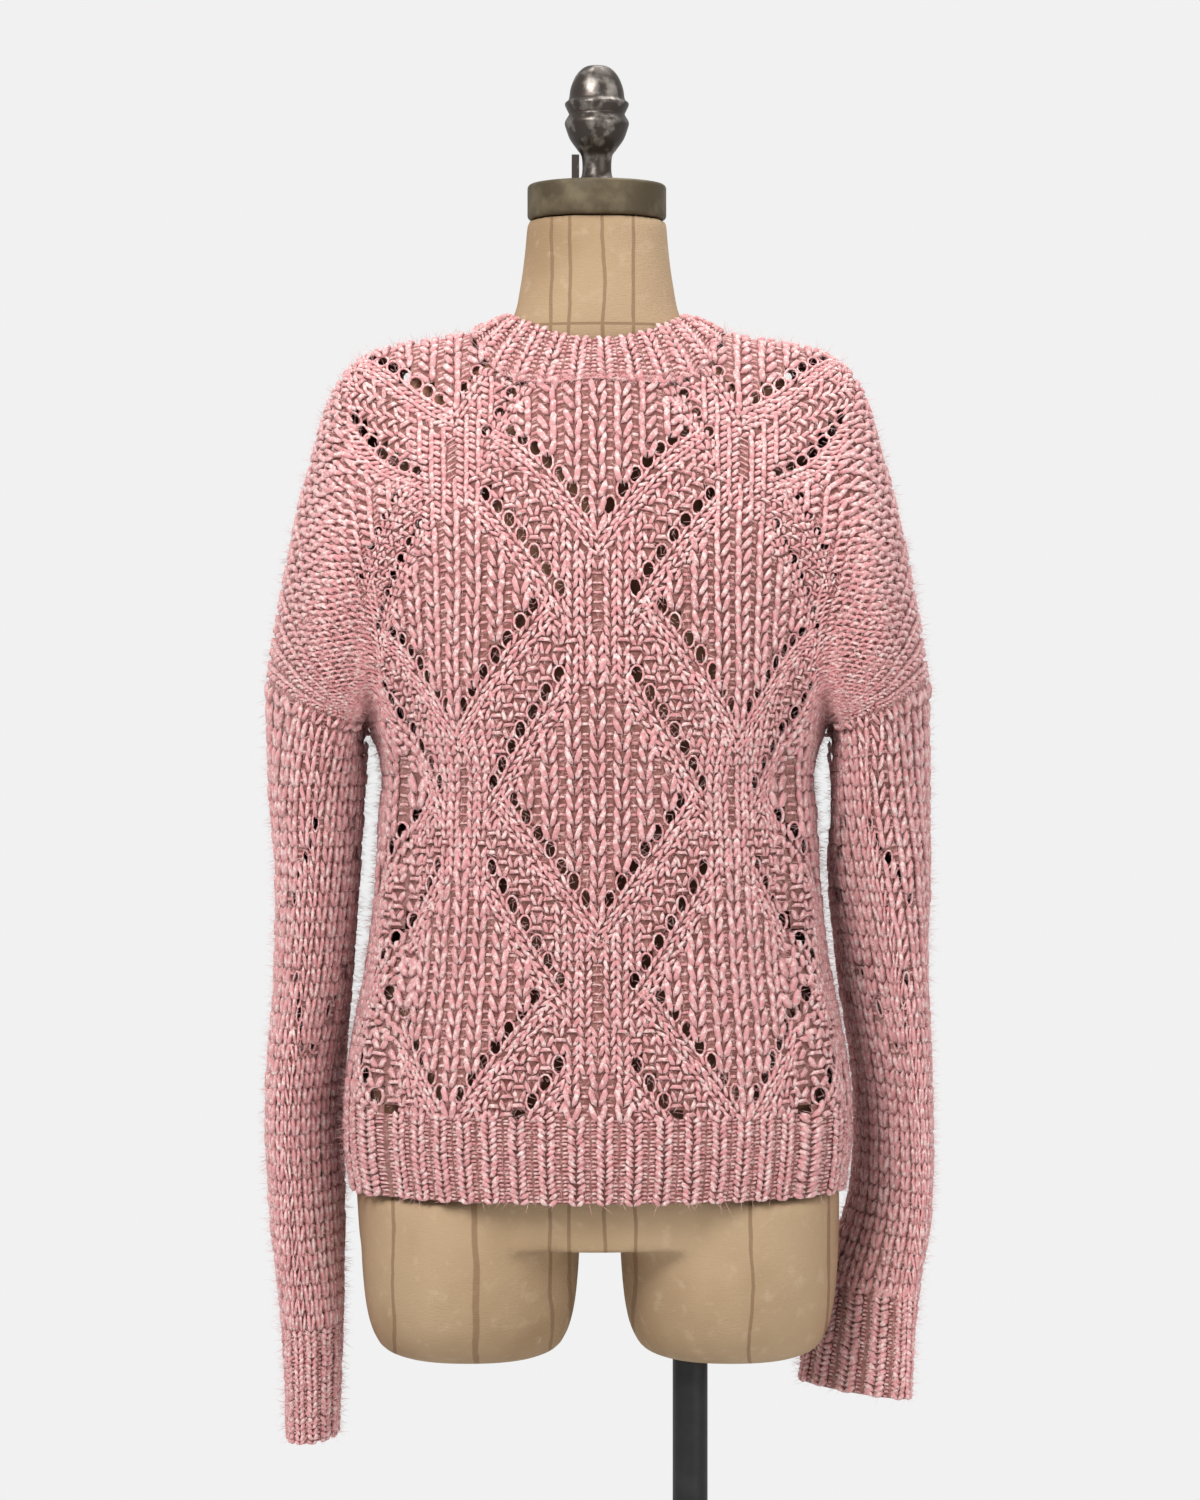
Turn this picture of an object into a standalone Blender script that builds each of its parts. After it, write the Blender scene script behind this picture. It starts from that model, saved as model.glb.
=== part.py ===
"""An oversized openwork pullover on a limbless dress form with a pole stand.

The knit is a wall of yarn: front, back, two halves of each sleeve, rib hem, rib cuffs and
rib neckband are separate solids, 0.3 mm apart at their seams. The front faces -Y and the
floor is at Z = 0. A place on a panel is a wale (the knit's upright columns, counted from
the centre) and a course (its rows, counted up from the top of the hem).
"""

import math

import bmesh
import bpy
import numpy as np
from mathutils import Matrix, Vector
from mathutils.geometry import delaunay_2d_cdt

# The knit's gauge, wall and seams, in metres.
WALE = 0.0087
COURSE = 0.00655
WALL = 0.0030
RAISED = 0.0014
SEAM_GAP = 0.0003
ARMHOLE_GAP = 0.0005

# Where the panels end, in wales and courses.
HEM_TOP_HEIGHT = 0.803
HEM_COURSE = -9.2
UNDERARM = 41.0
SHOULDER = 100.0
NECK_WALE = 10.6
TIP_WALE = 21.0
ARMHOLE = 50.0
SIDE_WALES = 29.0
PLAIN_WALES = 18.0
FRONT_NECK_DROP = 20.0
BACK_NECK_DROP = 12.0

# The girths of the body, from the hem up to just under the arm.
BODY_COLUMNS = ("course", "half_width", "front", "back")
BODY = (
    (-9.2, 0.181, 0.130, 0.120),
    (-4.6, 0.185, 0.135, 0.125),
    (0.0, 0.1855, 0.137, 0.126),
    (8.0, 0.179, 0.136, 0.122),
    (16.0, 0.169, 0.135, 0.117),
    (24.0, 0.163, 0.135, 0.114),
    (32.0, 0.160, 0.136, 0.114),
    (37.0, 0.158, 0.137, 0.115),
)
SQUARENESS = 2.3
# How far round a quarter of the girth each guide wale lies.
GUIDE_WALES = (0.0, NECK_WALE, TIP_WALE, 32.0, 41.0, ARMHOLE)
GUIDE_SHARES = (0.0, 0.37, 0.68, 0.84, 0.93, 1.0)

# The yoke and the dropped shoulder, at the guide wales: x out, y towards the seam plane, z.
YOKE_COLUMNS = ("course", "centre", "neck", "tip", "upper cape", "lower cape", "armhole")
FRONT_YOKE = (
    (41.0, (0, 0.137, 1.070), (0.090, 0.122, 1.070), (0.143, 0.082, 1.070),
     (0.157, 0.050, 1.069), (0.162, 0.024, 1.069), (0.166, 0, 1.070)),
    (60.0, (0, 0.124, 1.196), (0.092, 0.119, 1.190), (0.158, 0.090, 1.162),
     (0.170, 0.086, 1.118), (0.172, 0.079, 1.092), (0.176, 0.070, 1.078)),
    (80.0, (0, 0.079, 1.327), (0.093, 0.075, 1.292), (0.172, 0.078, 1.236),
     (0.198, 0.086, 1.170), (0.205, 0.087, 1.125), (0.212, 0.080, 1.090)),
)
BACK_YOKE = (
    (41.0, (0, 0.116, 1.070), (0.090, 0.105, 1.070), (0.143, 0.073, 1.070),
     (0.157, 0.046, 1.069), (0.162, 0.022, 1.069), (0.166, 0, 1.070)),
    (60.0, (0, 0.118, 1.190), (0.092, 0.112, 1.184), (0.160, 0.090, 1.160),
     (0.170, 0.086, 1.116), (0.172, 0.079, 1.091), (0.176, 0.070, 1.078)),
    (80.0, (0, 0.096, 1.308), (0.093, 0.086, 1.296), (0.172, 0.080, 1.240),
     (0.198, 0.086, 1.170), (0.205, 0.087, 1.125), (0.212, 0.080, 1.090)),
)
SHOULDER_LINE = ((0, 0, 1.400), (0.0925, 0, 1.3675), (0.178, 0, 1.344),
                 (0.2125, 0, 1.262), (0.231, 0, 1.180), (0.243, 0, 1.105))
# The first courses past the armhole seam, which steer the edge of the cape.
PAST_ARMHOLE = {41.0: (0.171, 0, 1.050), 60.0: (0.183, 0.064, 1.045),
                80.0: (0.218, 0.072, 1.045), 100.0: (0.2445, 0, 1.060)}

# The eyelet lozenges: a lattice of upright columns, each half a repeat above its neighbour.
COLUMN_WALES = 12
REPEAT = 42.0
FIRST_POINT = (23.6, 2.6)
LOWER_STEP = 1.75
UPPER_STEP = 2.0
UPPER_START = 3
UPPER_COURSE = 24.3
EYELET_WIDE = 0.0060
EYELET_TALL = 0.0086
FRONT_ARM = 4
BACK_ARM = 2
ROW_STEP = 14.0

# The sleeves, hanging flattened: the front and the back fold, and the bulge to each side.
SLEEVE_COLUMNS = ("height", "front_x", "front_y", "back_x", "back_y", "inner", "outer")
RIGHT_SLEEVE = (
    (1.030, 0.194, -0.074, 0.196, 0.086, 0.025, 0.048),
    (0.980, 0.202, -0.068, 0.184, 0.092, 0.022, 0.050),
    (0.900, 0.217, -0.058, 0.184, 0.098, 0.017, 0.038),
    (0.800, 0.233, -0.047, 0.194, 0.096, 0.014, 0.024),
    (0.715, 0.233, -0.045, 0.186, 0.090, 0.013, 0.022),
    (0.668, 0.226, -0.044, 0.164, 0.084, 0.012, 0.024),
    (0.630, 0.225, -0.043, 0.157, 0.076, 0.013, 0.020),
    (0.593, 0.224, -0.042, 0.150, 0.068, 0.015, 0.018),
)
LEFT_SLEEVE = (
    (1.030, 0.203, -0.075, 0.204, 0.086, 0.034, 0.037),
    (0.980, 0.206, -0.069, 0.202, 0.085, 0.031, 0.032),
    (0.900, 0.213, -0.062, 0.200, 0.084, 0.027, 0.029),
    (0.800, 0.225, -0.059, 0.197, 0.085, 0.020, 0.028),
    (0.715, 0.222, -0.056, 0.198, 0.074, 0.021, 0.025),
    (0.640, 0.214, -0.051, 0.201, 0.055, 0.021, 0.022),
    (0.602, 0.213, -0.051, 0.202, 0.050, 0.020, 0.020),
    (0.563, 0.212, -0.052, 0.203, 0.046, 0.019, 0.019),
)
CUFF_ROWS = 3
ARMHOLE_HEIGHT = 1.085
SLEEVE_HALF_WALES = 22
SLEEVE_ROWS = 8
ARMHOLE_STEPS = 12
SLEEVE_ARM = 3
# The lozenges of each half sleeve: the wale of the lower point, and its course.
SLEEVE_LOZENGES = {"front": ((7, 36.0),), "back": ((14, 50.0),)}
CUFF_HALF_RIBS = 6

# The neckband's top edge.
BAND_HALF_WIDTH = 0.066
BAND_FRONT = 0.0600
BAND_BACK = 0.0585
BAND_FRONT_HEIGHT = 1.3577
BAND_SIDE_HEIGHT = 1.3785
BAND_BACK_HEIGHT = 1.3830
BAND_BULGE = 0.0015
BAND_RIBS = 26
RIBS_HALF_PANEL = 13

# The dress form, in girths from the crotch up, then its thigh stubs.
FORM_COLUMNS = ("height", "half_width", "front", "back")
TORSO = (
    (0.706, 0.1730, 0.104, 0.112),
    (0.750, 0.1755, 0.107, 0.114),
    (0.800, 0.1765, 0.108, 0.114),
    (0.850, 0.1680, 0.105, 0.106),
    (0.905, 0.1500, 0.098, 0.096),
    (0.960, 0.1350, 0.094, 0.088),
    (1.000, 0.1310, 0.097, 0.085),
    (1.050, 0.1360, 0.108, 0.088),
    (1.100, 0.1440, 0.118, 0.093),
    (1.140, 0.1460, 0.120, 0.097),
    (1.190, 0.1460, 0.108, 0.099),
    (1.240, 0.1520, 0.088, 0.094),
    (1.285, 0.1600, 0.066, 0.078),
    (1.315, 0.1570, 0.052, 0.060),
    (1.332, 0.1330, 0.048, 0.050),
    (1.344, 0.1020, 0.047, 0.047),
    (1.356, 0.0770, 0.048, 0.047),
    (1.372, 0.0625, 0.049, 0.048),
    (1.396, 0.0562, 0.050, 0.049),
    (1.422, 0.0525, 0.0495, 0.049),
    (1.446, 0.0505, 0.0490, 0.049),
)
THIGH_CENTRES = {"left": -0.0920, "right": 0.0965}
THIGH = (
    (0.6200, 0.046, 0.052, 0.056),
    (0.6235, 0.058, 0.066, 0.070),
    (0.6330, 0.068, 0.080, 0.084),
    (0.6480, 0.0740, 0.090, 0.094),
    (0.6700, 0.0775, 0.097, 0.103),
    (0.7000, 0.0795, 0.101, 0.108),
    (0.7400, 0.0800, 0.103, 0.110),
)
FORM_SQUARENESS = 2.15
FORM_SIDES = 22
THIGH_SIDES = 18

# The neck cap, the finial, the pole and the base.
CAP_RADIUS = 0.0506
CAP_BOTTOM = 1.4463
CAP_TOP = 1.4720
CAP_ROUND = 0.0030
FINIAL_COLUMNS = ("radius", "height")
FINIAL = (
    (0.0000, 1.5593), (0.0085, 1.5580), (0.0150, 1.5520), (0.0190, 1.5430),
    (0.0205, 1.5345), (0.0234, 1.5310), (0.0212, 1.5255), (0.0205, 1.5230),
    (0.0234, 1.5175), (0.0222, 1.5120), (0.0195, 1.5050), (0.0142, 1.4975),
    (0.0110, 1.4920), (0.0110, 1.4790), (0.0150, 1.4723), (0.0000, 1.4723),
)
FINIAL_SIDES = 18
CATCH_SIZE = (0.0055, 0.0060, 0.0180)
CATCH_PLACE = (-0.0156, 0.0, 1.4850)
CAP_SIDES = 28
POLE_X = 0.068
POLE_RADIUS = 0.01275
POLE_TOP = 0.6197
POLE_SIDES = 20
POLE_SOCKET_TOP = 0.045
POLE_SOCKET_NECK = 0.020
POLE_SOCKET_RADIUS = 0.030
BASE_RADIUS = 0.200
BASE_THICK = 0.016
BASE_ROUND = 0.004
BASE_SIDES = 48

COLOURS = {
    "knit": (0.72, 0.36, 0.36, 1.0),
    "linen": (0.50, 0.34, 0.20, 1.0),
    "bronze": (0.115, 0.082, 0.034, 1.0),
    "iron": (0.070, 0.052, 0.040, 1.0),
    "black": (0.012, 0.012, 0.012, 1.0),
}
ROUGHNESS = {"knit": 0.95, "linen": 0.85, "bronze": 0.45, "iron": 0.50, "black": 0.35}
METALLIC = {"knit": 0.0, "linen": 0.0, "bronze": 0.9, "iron": 0.9, "black": 0.0}


def smooth_through(knots, values, at):
    """A smooth curve through values at the knots, read at each place in at."""
    knots = np.asarray(knots, float)
    values = np.asarray(values, float)
    at = np.clip(np.asarray(at, float), knots[0], knots[-1])
    steps = np.diff(knots)
    rises = np.diff(values, axis=0) / steps.reshape((-1,) + (1,) * (values.ndim - 1))
    slopes = np.empty_like(values)
    slopes[0], slopes[-1] = rises[0], rises[-1]
    before = steps[:-1].reshape((-1,) + (1,) * (values.ndim - 1))
    after = steps[1:].reshape((-1,) + (1,) * (values.ndim - 1))
    slopes[1:-1] = (rises[:-1] * after + rises[1:] * before) / (before + after)
    k = np.clip(np.searchsorted(knots, at, side="right") - 1, 0, len(steps) - 1)
    t = (at - knots[k]) / steps[k]
    shape = t.shape + (1,) * (values.ndim - 1)
    t, h = t.reshape(shape), steps[k].reshape(shape)
    low, high, m0, m1 = values[k], values[k + 1], slopes[k], slopes[k + 1]
    return (
        (2 * t**3 - 3 * t**2 + 1) * low + (t**3 - 2 * t**2 + t) * h * m0
        + (3 * t**2 - 2 * t**3) * high + (t**3 - t**2) * h * m1
    )


def unit(vectors):
    """Each vector at length one."""
    vectors = np.asarray(vectors, float)
    return vectors / np.maximum(np.linalg.norm(vectors, axis=-1, keepdims=True), 1e-12)


def girth_points(half_width, depth, shares):
    """Points at shares of the way from the centre of a panel round to its side seam."""
    turn = np.linspace(0, math.pi / 2, 241)
    power = 2 / SQUARENESS
    across = half_width * np.sin(turn) ** power
    forward = depth * np.cos(turn) ** power
    along = np.concatenate([[0], np.cumsum(np.hypot(np.diff(across), np.diff(forward)))])
    places = np.asarray(shares) * along[-1]
    return np.interp(places, along, across), np.interp(places, along, forward)


def panel_rows(side):
    """The guide courses of a panel and its guide points: rows by wales by (x, y, z)."""
    courses, rows = [], []
    for course, half_width, front, back in BODY:
        x, y = girth_points(half_width, front if side == "front" else back, GUIDE_SHARES)
        _, other = girth_points(half_width, back if side == "front" else front, GUIDE_SHARES)
        z = np.full(len(x), HEM_TOP_HEIGHT + course * COURSE)
        row = np.column_stack([x, y, z])
        courses.append(course)
        rows.append(np.vstack([row, [row[-2][0], -other[-2], row[-2][2]]]))
    for course, *places in FRONT_YOKE if side == "front" else BACK_YOKE:
        courses.append(course)
        rows.append(np.array(list(places) + [PAST_ARMHOLE[course]], float))
    courses.append(SHOULDER)
    rows.append(np.array(list(SHOULDER_LINE) + [PAST_ARMHOLE[SHOULDER]], float))
    # The other panel's yoke, past the shoulder line, keeps the shoulder round.
    beyond = (BACK_YOKE if side == "front" else FRONT_YOKE)[-1]
    over = np.array(list(beyond[1:]) + [PAST_ARMHOLE[beyond[0]]], float)
    over[:, 1] *= -1
    courses.append(2 * SHOULDER - beyond[0])
    rows.append(over)
    return courses, np.array(rows)


def mirrored_wales(rows):
    """The guide points of both halves of a panel, from the left armhole to the right."""
    left = rows[:, :0:-1, :].copy()
    left[:, :, 0] *= -1
    wales = np.array(GUIDE_WALES + (2 * ARMHOLE - GUIDE_WALES[-2],))
    return np.concatenate([-wales[:0:-1], wales]), np.concatenate([left, rows], axis=1)


FACING = {"front": -1, "back": 1}
PANELS = {}
for panel_side in ("front", "back"):
    guide_courses, guide_rows = panel_rows(panel_side)
    PANELS[panel_side] = (guide_courses,) + mirrored_wales(guide_rows)


def panel_place(side, wale, course):
    """A point of a panel's outer surface, held to its own side of the seam plane."""
    courses, wales, grid = PANELS[side]
    upward = smooth_through(courses, np.eye(len(courses)), course)
    across = smooth_through(wales, np.eye(len(wales)), wale)
    places = np.einsum("...r,...w,rwx->...x", upward, across, grid)
    places[..., 1] = np.maximum(places[..., 1], SEAM_GAP / 2) * FACING[side]
    return places


def armhole_facing(side, hand, share):
    """The way out of the cloth along the armhole, from the underarm (0) over to the top (1)."""
    turn = math.pi * np.asarray(share, float)
    low = turn < math.pi / 2
    x = np.where(low, -0.5 * np.sin(2 * turn), -np.cos(turn))
    z = np.where(low, -np.cos(turn), 0.0)
    return unit(np.stack([hand * x, FACING[side] * np.sin(turn), z], axis=-1))


def panel_facing(side, wale, course):
    """The way out of the cloth, held in the seam plane along the seams."""
    wale, course = np.broadcast_arrays(np.asarray(wale, float), np.asarray(course, float))
    step = 0.4
    right = panel_place(side, np.minimum(wale + step, ARMHOLE), course)
    left = panel_place(side, np.maximum(wale - step, -ARMHOLE), course)
    up = panel_place(side, wale, np.minimum(course + step, SHOULDER))
    down = panel_place(side, wale, np.maximum(course - step, HEM_COURSE))
    out = unit(np.cross(right - left, up - down)) * -FACING[side]
    over = course > SHOULDER - step
    out[over] = unit(np.cross((right - left)[over], (0.0, 1.0, 0.0)))
    out[over, 1] = 0
    hem_seam = np.abs(course) < step
    out[hem_seam, 2] = 0
    hand = np.sign(wale)
    edge = np.abs(wale) > ARMHOLE - 1e-6
    share = np.clip((course - UNDERARM) / (SHOULDER - UNDERARM), 0, 1)
    rim = armhole_facing(side, hand, share)
    high = edge & (course >= UNDERARM)
    out[high] = rim[high]
    tip = np.clip((course - (UNDERARM - 6)) / 6, 0, 1) * math.pi / 2
    seam = np.stack([hand * np.cos(tip), np.zeros_like(tip), -np.sin(tip)], axis=-1)
    low = edge & (course < UNDERARM)
    out[low] = seam[low]
    return unit(out)


def widest(course):
    """How many wales reach from the centre to the panel's edge at a course."""
    rise = np.clip((np.asarray(course, float) - 36) / 26, 0, 1)
    return SIDE_WALES + (ARMHOLE - SIDE_WALES) * rise * rise * (3 - 2 * rise)


def guide_wale(wale, course):
    """The guide wale at which a real wale lies: they part ways in the bunched side."""
    wale = np.asarray(wale, float)
    past = np.maximum(np.abs(wale) - PLAIN_WALES, 0)
    spread = (ARMHOLE - PLAIN_WALES) / (widest(course) - PLAIN_WALES)
    return np.sign(wale) * (np.minimum(np.abs(wale), PLAIN_WALES) + past * spread)


def neck_course(side, wale):
    """The course of the neckline above a wale."""
    drop = FRONT_NECK_DROP if side == "front" else BACK_NECK_DROP
    lean = np.clip(np.abs(wale) / NECK_WALE, 0, 1)
    return SHOULDER - drop * (1 - lean**2.4) ** (1 / 2.0)


def eyelet_places(side, arm):
    """The eyelets of a panel: the first few of each side of each lozenge, from its points."""
    places = []
    for column in range(-2, 3):
        for turn in range(-1, 3):
            point = FIRST_POINT[column % 2] + REPEAT * turn
            for hand in (-1, 1):
                for k in range(1, arm + 1):
                    places.append((column * COLUMN_WALES + hand * k, point + LOWER_STEP * (k - 1)))
                for k in range(arm):
                    wale = column * COLUMN_WALES + hand * (UPPER_START + k)
                    places.append((wale, point + UPPER_COURSE - UPPER_STEP * k))
    kept = []
    for wale, course in places:
        cape = course > 38 and abs(wale) > 22
        side_seam = abs(wale) > 26
        hem = course < 1.6
        top = SHOULDER - 2.2 if abs(wale) > NECK_WALE + 1 else neck_course(side, wale) - 2.0
        if not (cape or side_seam or hem or course > top):
            kept.append((float(wale), float(course)))
    return kept


def eyelet_corners(wale, course):
    """The four corners of one eyelet, in wales and courses."""
    w, c = EYELET_WIDE / 2 / WALE, EYELET_TALL / 2 / COURSE
    return [(wale - w, course - c), (wale + w, course - c), (wale + w, course + c),
            (wale - w, course + c)]


def inside(polygon, point):
    """Whether a flat point lies inside a flat polygon."""
    odd = False
    for (ax, ay), (bx, by) in zip(polygon, polygon[1:] + polygon[:1]):
        if (ay > point[1]) != (by > point[1]):
            odd ^= point[0] < (bx - ax) * (point[1] - ay) / (by - ay) + ax
    return odd


def clear_of(point, loops, room):
    """Whether a flat point is at least room from every loop's edges, and in no hole."""
    p = np.array(point)
    for number, loop in enumerate(loops):
        if number and inside(loop, point):
            return False
        a = np.array(loop)
        b = np.roll(a, -1, axis=0)
        t = np.clip(((p - a) * (b - a)).sum(1) / np.maximum(((b - a) ** 2).sum(1), 1e-12), 0, 1)
        if np.linalg.norm(a + (b - a) * t[:, None] - p, axis=1).min() < room:
            return False
    return True


def flat_triangles(loops, extra):
    """Triangles between an outer loop and the holes in it, through the extra points."""
    points, edges = [], []
    for loop in loops:
        first = len(points)
        points += [Vector(p) for p in loop]
        edges += [(first + k, first + (k + 1) % len(loop)) for k in range(len(loop))]
    points += [Vector(p) for p in extra]
    corners, _, faces, came_from, _, _ = delaunay_2d_cdt(points, edges, [], 0, 1e-7)
    source = [min(names) for names in came_from]
    kept = []
    for face in faces:
        middle = sum((corners[k] for k in face), Vector((0, 0))) / len(face)
        if inside(loops[0], middle) and not any(inside(hole, middle) for hole in loops[1:]):
            kept.append([source[k] for k in face])
    return kept


def new_object(name, mesh, finish):
    """An object in the part's collection, with its own material."""
    material = bpy.data.materials.new(name)
    material.use_nodes = True
    shader = material.node_tree.nodes["Principled BSDF"]
    shader.inputs["Base Color"].default_value = COLOURS[finish]
    shader.inputs["Roughness"].default_value = ROUGHNESS[finish]
    shader.inputs["Metallic"].default_value = METALLIC[finish]
    mesh.materials.append(material)
    piece = bpy.data.objects.new(name, mesh)
    PART.objects.link(piece)
    return piece


def mesh_from(name, points, faces):
    """A closed mesh with its faces turned out."""
    mesh = bpy.data.meshes.new(name)
    shape = bmesh.new()
    corners = [shape.verts.new(p) for p in points]
    for face in faces:
        shape.faces.new([corners[k] for k in face])
    bmesh.ops.recalc_face_normals(shape, faces=shape.faces)
    shape.to_mesh(mesh)
    shape.free()
    return mesh


def knit_wall(name, place, facing, loops, raised_points, plain_points, height):
    """A knitted wall: a raised outer face and a plain inner one, with holes through both.

    place and facing give a point and the way out at flat points, loops are the edge and the
    holes, and height is how far the yarn stands up at flat points, from 0 to 1.
    """
    rim = [p for loop in loops for p in loop]
    outer_flat = np.array(rim + raised_points)
    inner_flat = np.array(rim + plain_points)
    scale = np.array([WALE, COURSE])
    scaled = [[tuple(np.array(p) * scale) for p in loop] for loop in loops]
    outer_faces = flat_triangles(scaled, [tuple(np.array(p) * scale) for p in raised_points])
    inner_faces = flat_triangles(scaled, [tuple(np.array(p) * scale) for p in plain_points])
    sunk = RAISED * (1 - height(outer_flat[:, 0], outer_flat[:, 1]))[:, None]
    outer = place(outer_flat[:, 0], outer_flat[:, 1])
    outer = outer - facing(outer_flat[:, 0], outer_flat[:, 1]) * sunk
    inner = place(inner_flat[:, 0], inner_flat[:, 1])
    inner = inner - facing(inner_flat[:, 0], inner_flat[:, 1]) * (WALL + RAISED)
    shift = len(outer)
    faces = [list(face) for face in outer_faces]
    faces += [[shift + k for k in reversed(face)] for face in inner_faces]
    first = 0
    for loop in loops:
        count = len(loop)
        for k in range(count):
            a, b = first + k, first + (k + 1) % count
            # The shorter diagonal, so that both sides of a seam are cut the same way.
            if np.linalg.norm(outer[a] - inner[b]) < np.linalg.norm(outer[b] - inner[a]):
                faces += [[a, b, shift + b], [a, shift + b, shift + a]]
            else:
                faces += [[a, b, shift + a], [b, shift + b, shift + a]]
        first += count
    return new_object(name, mesh_from(name, np.vstack([outer, inner]), faces), "knit")


def held_to_side(side, point):
    """The same point, kept on its own side of the seam plane."""
    point[1] = FACING[side] * max(FACING[side] * point[1], SEAM_GAP / 2)
    return point


def ribbed(wale, course, start, end):
    """How high the yarn stands: every second wale is up, fading out at the panel's edges."""
    fade = np.clip(np.minimum(course - start, end - course) / 3.0, 0, 1)
    up = 0.5 + 0.5 * np.cos(math.pi * np.asarray(wale, float))
    return 0.5 + (up - 0.5) * fade


def panel_loop(side):
    """The panel's edge, anticlockwise, in real wales and courses."""
    low = SEAM_GAP / 2 / COURSE
    loop = [(w, low) for w in np.linspace(-SIDE_WALES, SIDE_WALES, 27)]
    rise = [10.0, 20.0, 29.0, 36.0, 39.0]
    loop += [(float(widest(c)), c) for c in rise]
    arm = np.linspace(UNDERARM, SHOULDER, ARMHOLE_STEPS + 1)
    loop += [(float(widest(c)), c) for c in arm]
    loop += [(w, SHOULDER) for w in np.linspace(ARMHOLE, NECK_WALE, 21)[1:]]
    turn = np.linspace(0, math.pi, BAND_RIBS + 1)[1:-1]
    neck = [NECK_WALE * math.cos(t) for t in turn]
    loop += [(w, float(neck_course(side, w))) for w in neck]
    loop += [(-w, SHOULDER) for w in np.linspace(NECK_WALE, ARMHOLE, 21)]
    loop += [(-float(widest(c)), c) for c in arm[-2::-1]]
    loop += [(-float(widest(c)), c) for c in rise[::-1]]
    return loop


def make_panel(side):
    """The front or the back, with its eyelets cut through."""
    arm = FRONT_ARM if side == "front" else BACK_ARM
    holes = [eyelet_corners(w, c) for w, c in eyelet_places(side, arm)]
    loops = [panel_loop(side)] + holes
    metric = [[(w * WALE, c * COURSE) for w, c in loop] for loop in loops]
    raised, plain = [], []
    for course in np.arange(ROW_STEP / 2, SHOULDER, ROW_STEP):
        reach = int(widest(course))
        for wale in range(-reach, reach + 1):
            spot = (wale * WALE, course * COURSE)
            if inside(metric[0], spot) and clear_of(spot, metric, 0.0035):
                raised.append((float(wale), float(course)))
        for wale in np.linspace(-reach + 2, reach - 2, 2 * (reach // 4) + 1):
            spot = (wale * WALE, course * COURSE)
            if inside(metric[0], spot) and clear_of(spot, metric, 0.006):
                plain.append((float(wale), float(course)))

    def place(wale, course):
        return panel_place(side, guide_wale(wale, course), course)

    def facing(wale, course):
        guide = guide_wale(wale, course)
        guide = np.where(np.abs(guide) > ARMHOLE - 0.01, np.sign(guide) * ARMHOLE, guide)
        return panel_facing(side, guide, course)

    def height(wale, course):
        return ribbed(wale, course, 0.0, SHOULDER)

    panel = knit_wall(side, place, facing, loops, raised, plain, height)
    for corner in panel.data.vertices:
        corner.co = held_to_side(side, np.array(corner.co))
    return len(holes)


def grid_wall(name, outer, inner, closed):
    """A wall between two grids of points, rows by columns, round a loop if closed."""
    rows, columns = outer.shape[:2]
    shift = rows * columns
    last = columns if closed else columns - 1
    faces = []
    for r in range(rows - 1):
        for c in range(last):
            a, b = r * columns + c, r * columns + (c + 1) % columns
            faces.append([a, b, b + columns, a + columns])
            faces.append([shift + a + columns, shift + b + columns, shift + b, shift + a])
    for r in (0, rows - 1):
        for c in range(last):
            a, b = r * columns + c, r * columns + (c + 1) % columns
            faces.append([a, b, shift + b, shift + a])
    for c in () if closed else (0, columns - 1):
        for r in range(rows - 1):
            a, b = r * columns + c, (r + 1) * columns + c
            faces.append([a, b, shift + b, shift + a])
    points = np.vstack([outer.reshape(-1, 3), inner.reshape(-1, 3)])
    return new_object(name, mesh_from(name, points, faces), "knit")


def rib_sink(columns):
    """How far each column of a rib lies below its raised stitches: every second one does."""
    return RAISED * (np.arange(columns) % 2)[None, :, None]


def make_hem(side):
    """One half of the ribbed hem, below a panel."""
    columns = 4 * RIBS_HALF_PANEL + 1
    shares = np.linspace(-1, 1, columns)
    wales = np.sign(shares) * np.interp(np.abs(shares), GUIDE_SHARES, GUIDE_WALES)
    courses = np.array([HEM_COURSE, HEM_COURSE / 2, -SEAM_GAP / 2 / COURSE])
    wale, course = np.meshgrid(wales, courses)
    place, out = panel_place(side, wale, course), panel_facing(side, wale, course)
    outer, inner = place - out * rib_sink(columns), place - out * (WALL + RAISED)
    for grid in (outer, inner):
        grid[..., 1] = FACING[side] * np.maximum(FACING[side] * grid[..., 1], SEAM_GAP / 2)
    grid_wall(f"hem_{side}", outer, inner, False)


def sleeve_rings(table, turn):
    """The sleeve's guide rings at each turn from the underarm (0) round by the front."""
    turn = np.asarray(turn, float)
    rings = []
    for height, front_x, front_y, back_x, back_y, inner, outer in table:
        front, back = np.array([front_x, front_y]), np.array([back_x, back_y])
        long = (front - back) / 2
        flat = np.array([-long[1], long[0]]) / np.linalg.norm(long)
        bulge = np.where(np.cos(turn) > 0, inner, outer) * -np.cos(turn)
        ring = (front + back) / 2 + np.sin(turn)[..., None] * long + bulge[..., None] * flat
        rings.append(np.concatenate([ring, np.full(turn.shape + (1,), height)], axis=-1))
    return np.array(rings)


def armhole_points(hand, turn):
    """The armhole's points and its way out of the cloth, at each turn from the underarm."""
    turn = np.mod(np.asarray(turn, float), 2 * math.pi)
    share = 1 - np.abs(turn / math.pi - 1)
    course = UNDERARM + share * (SHOULDER - UNDERARM)
    wale = np.full(turn.shape, hand * ARMHOLE)
    front = (turn <= math.pi)[..., None]
    place = np.where(front, panel_place("front", wale, course), panel_place("back", wale, course))
    out = np.where(front, armhole_facing("front", hand, share),
                   armhole_facing("back", hand, share))
    seam = (share < 1e-9) | (share > 1 - 1e-9)
    place[seam, 1], out[seam, 1] = 0, 0
    return place, unit(out)


def sleeve_table(hand):
    """The guide rings of one sleeve."""
    return RIGHT_SLEEVE if hand > 0 else LEFT_SLEEVE


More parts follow.
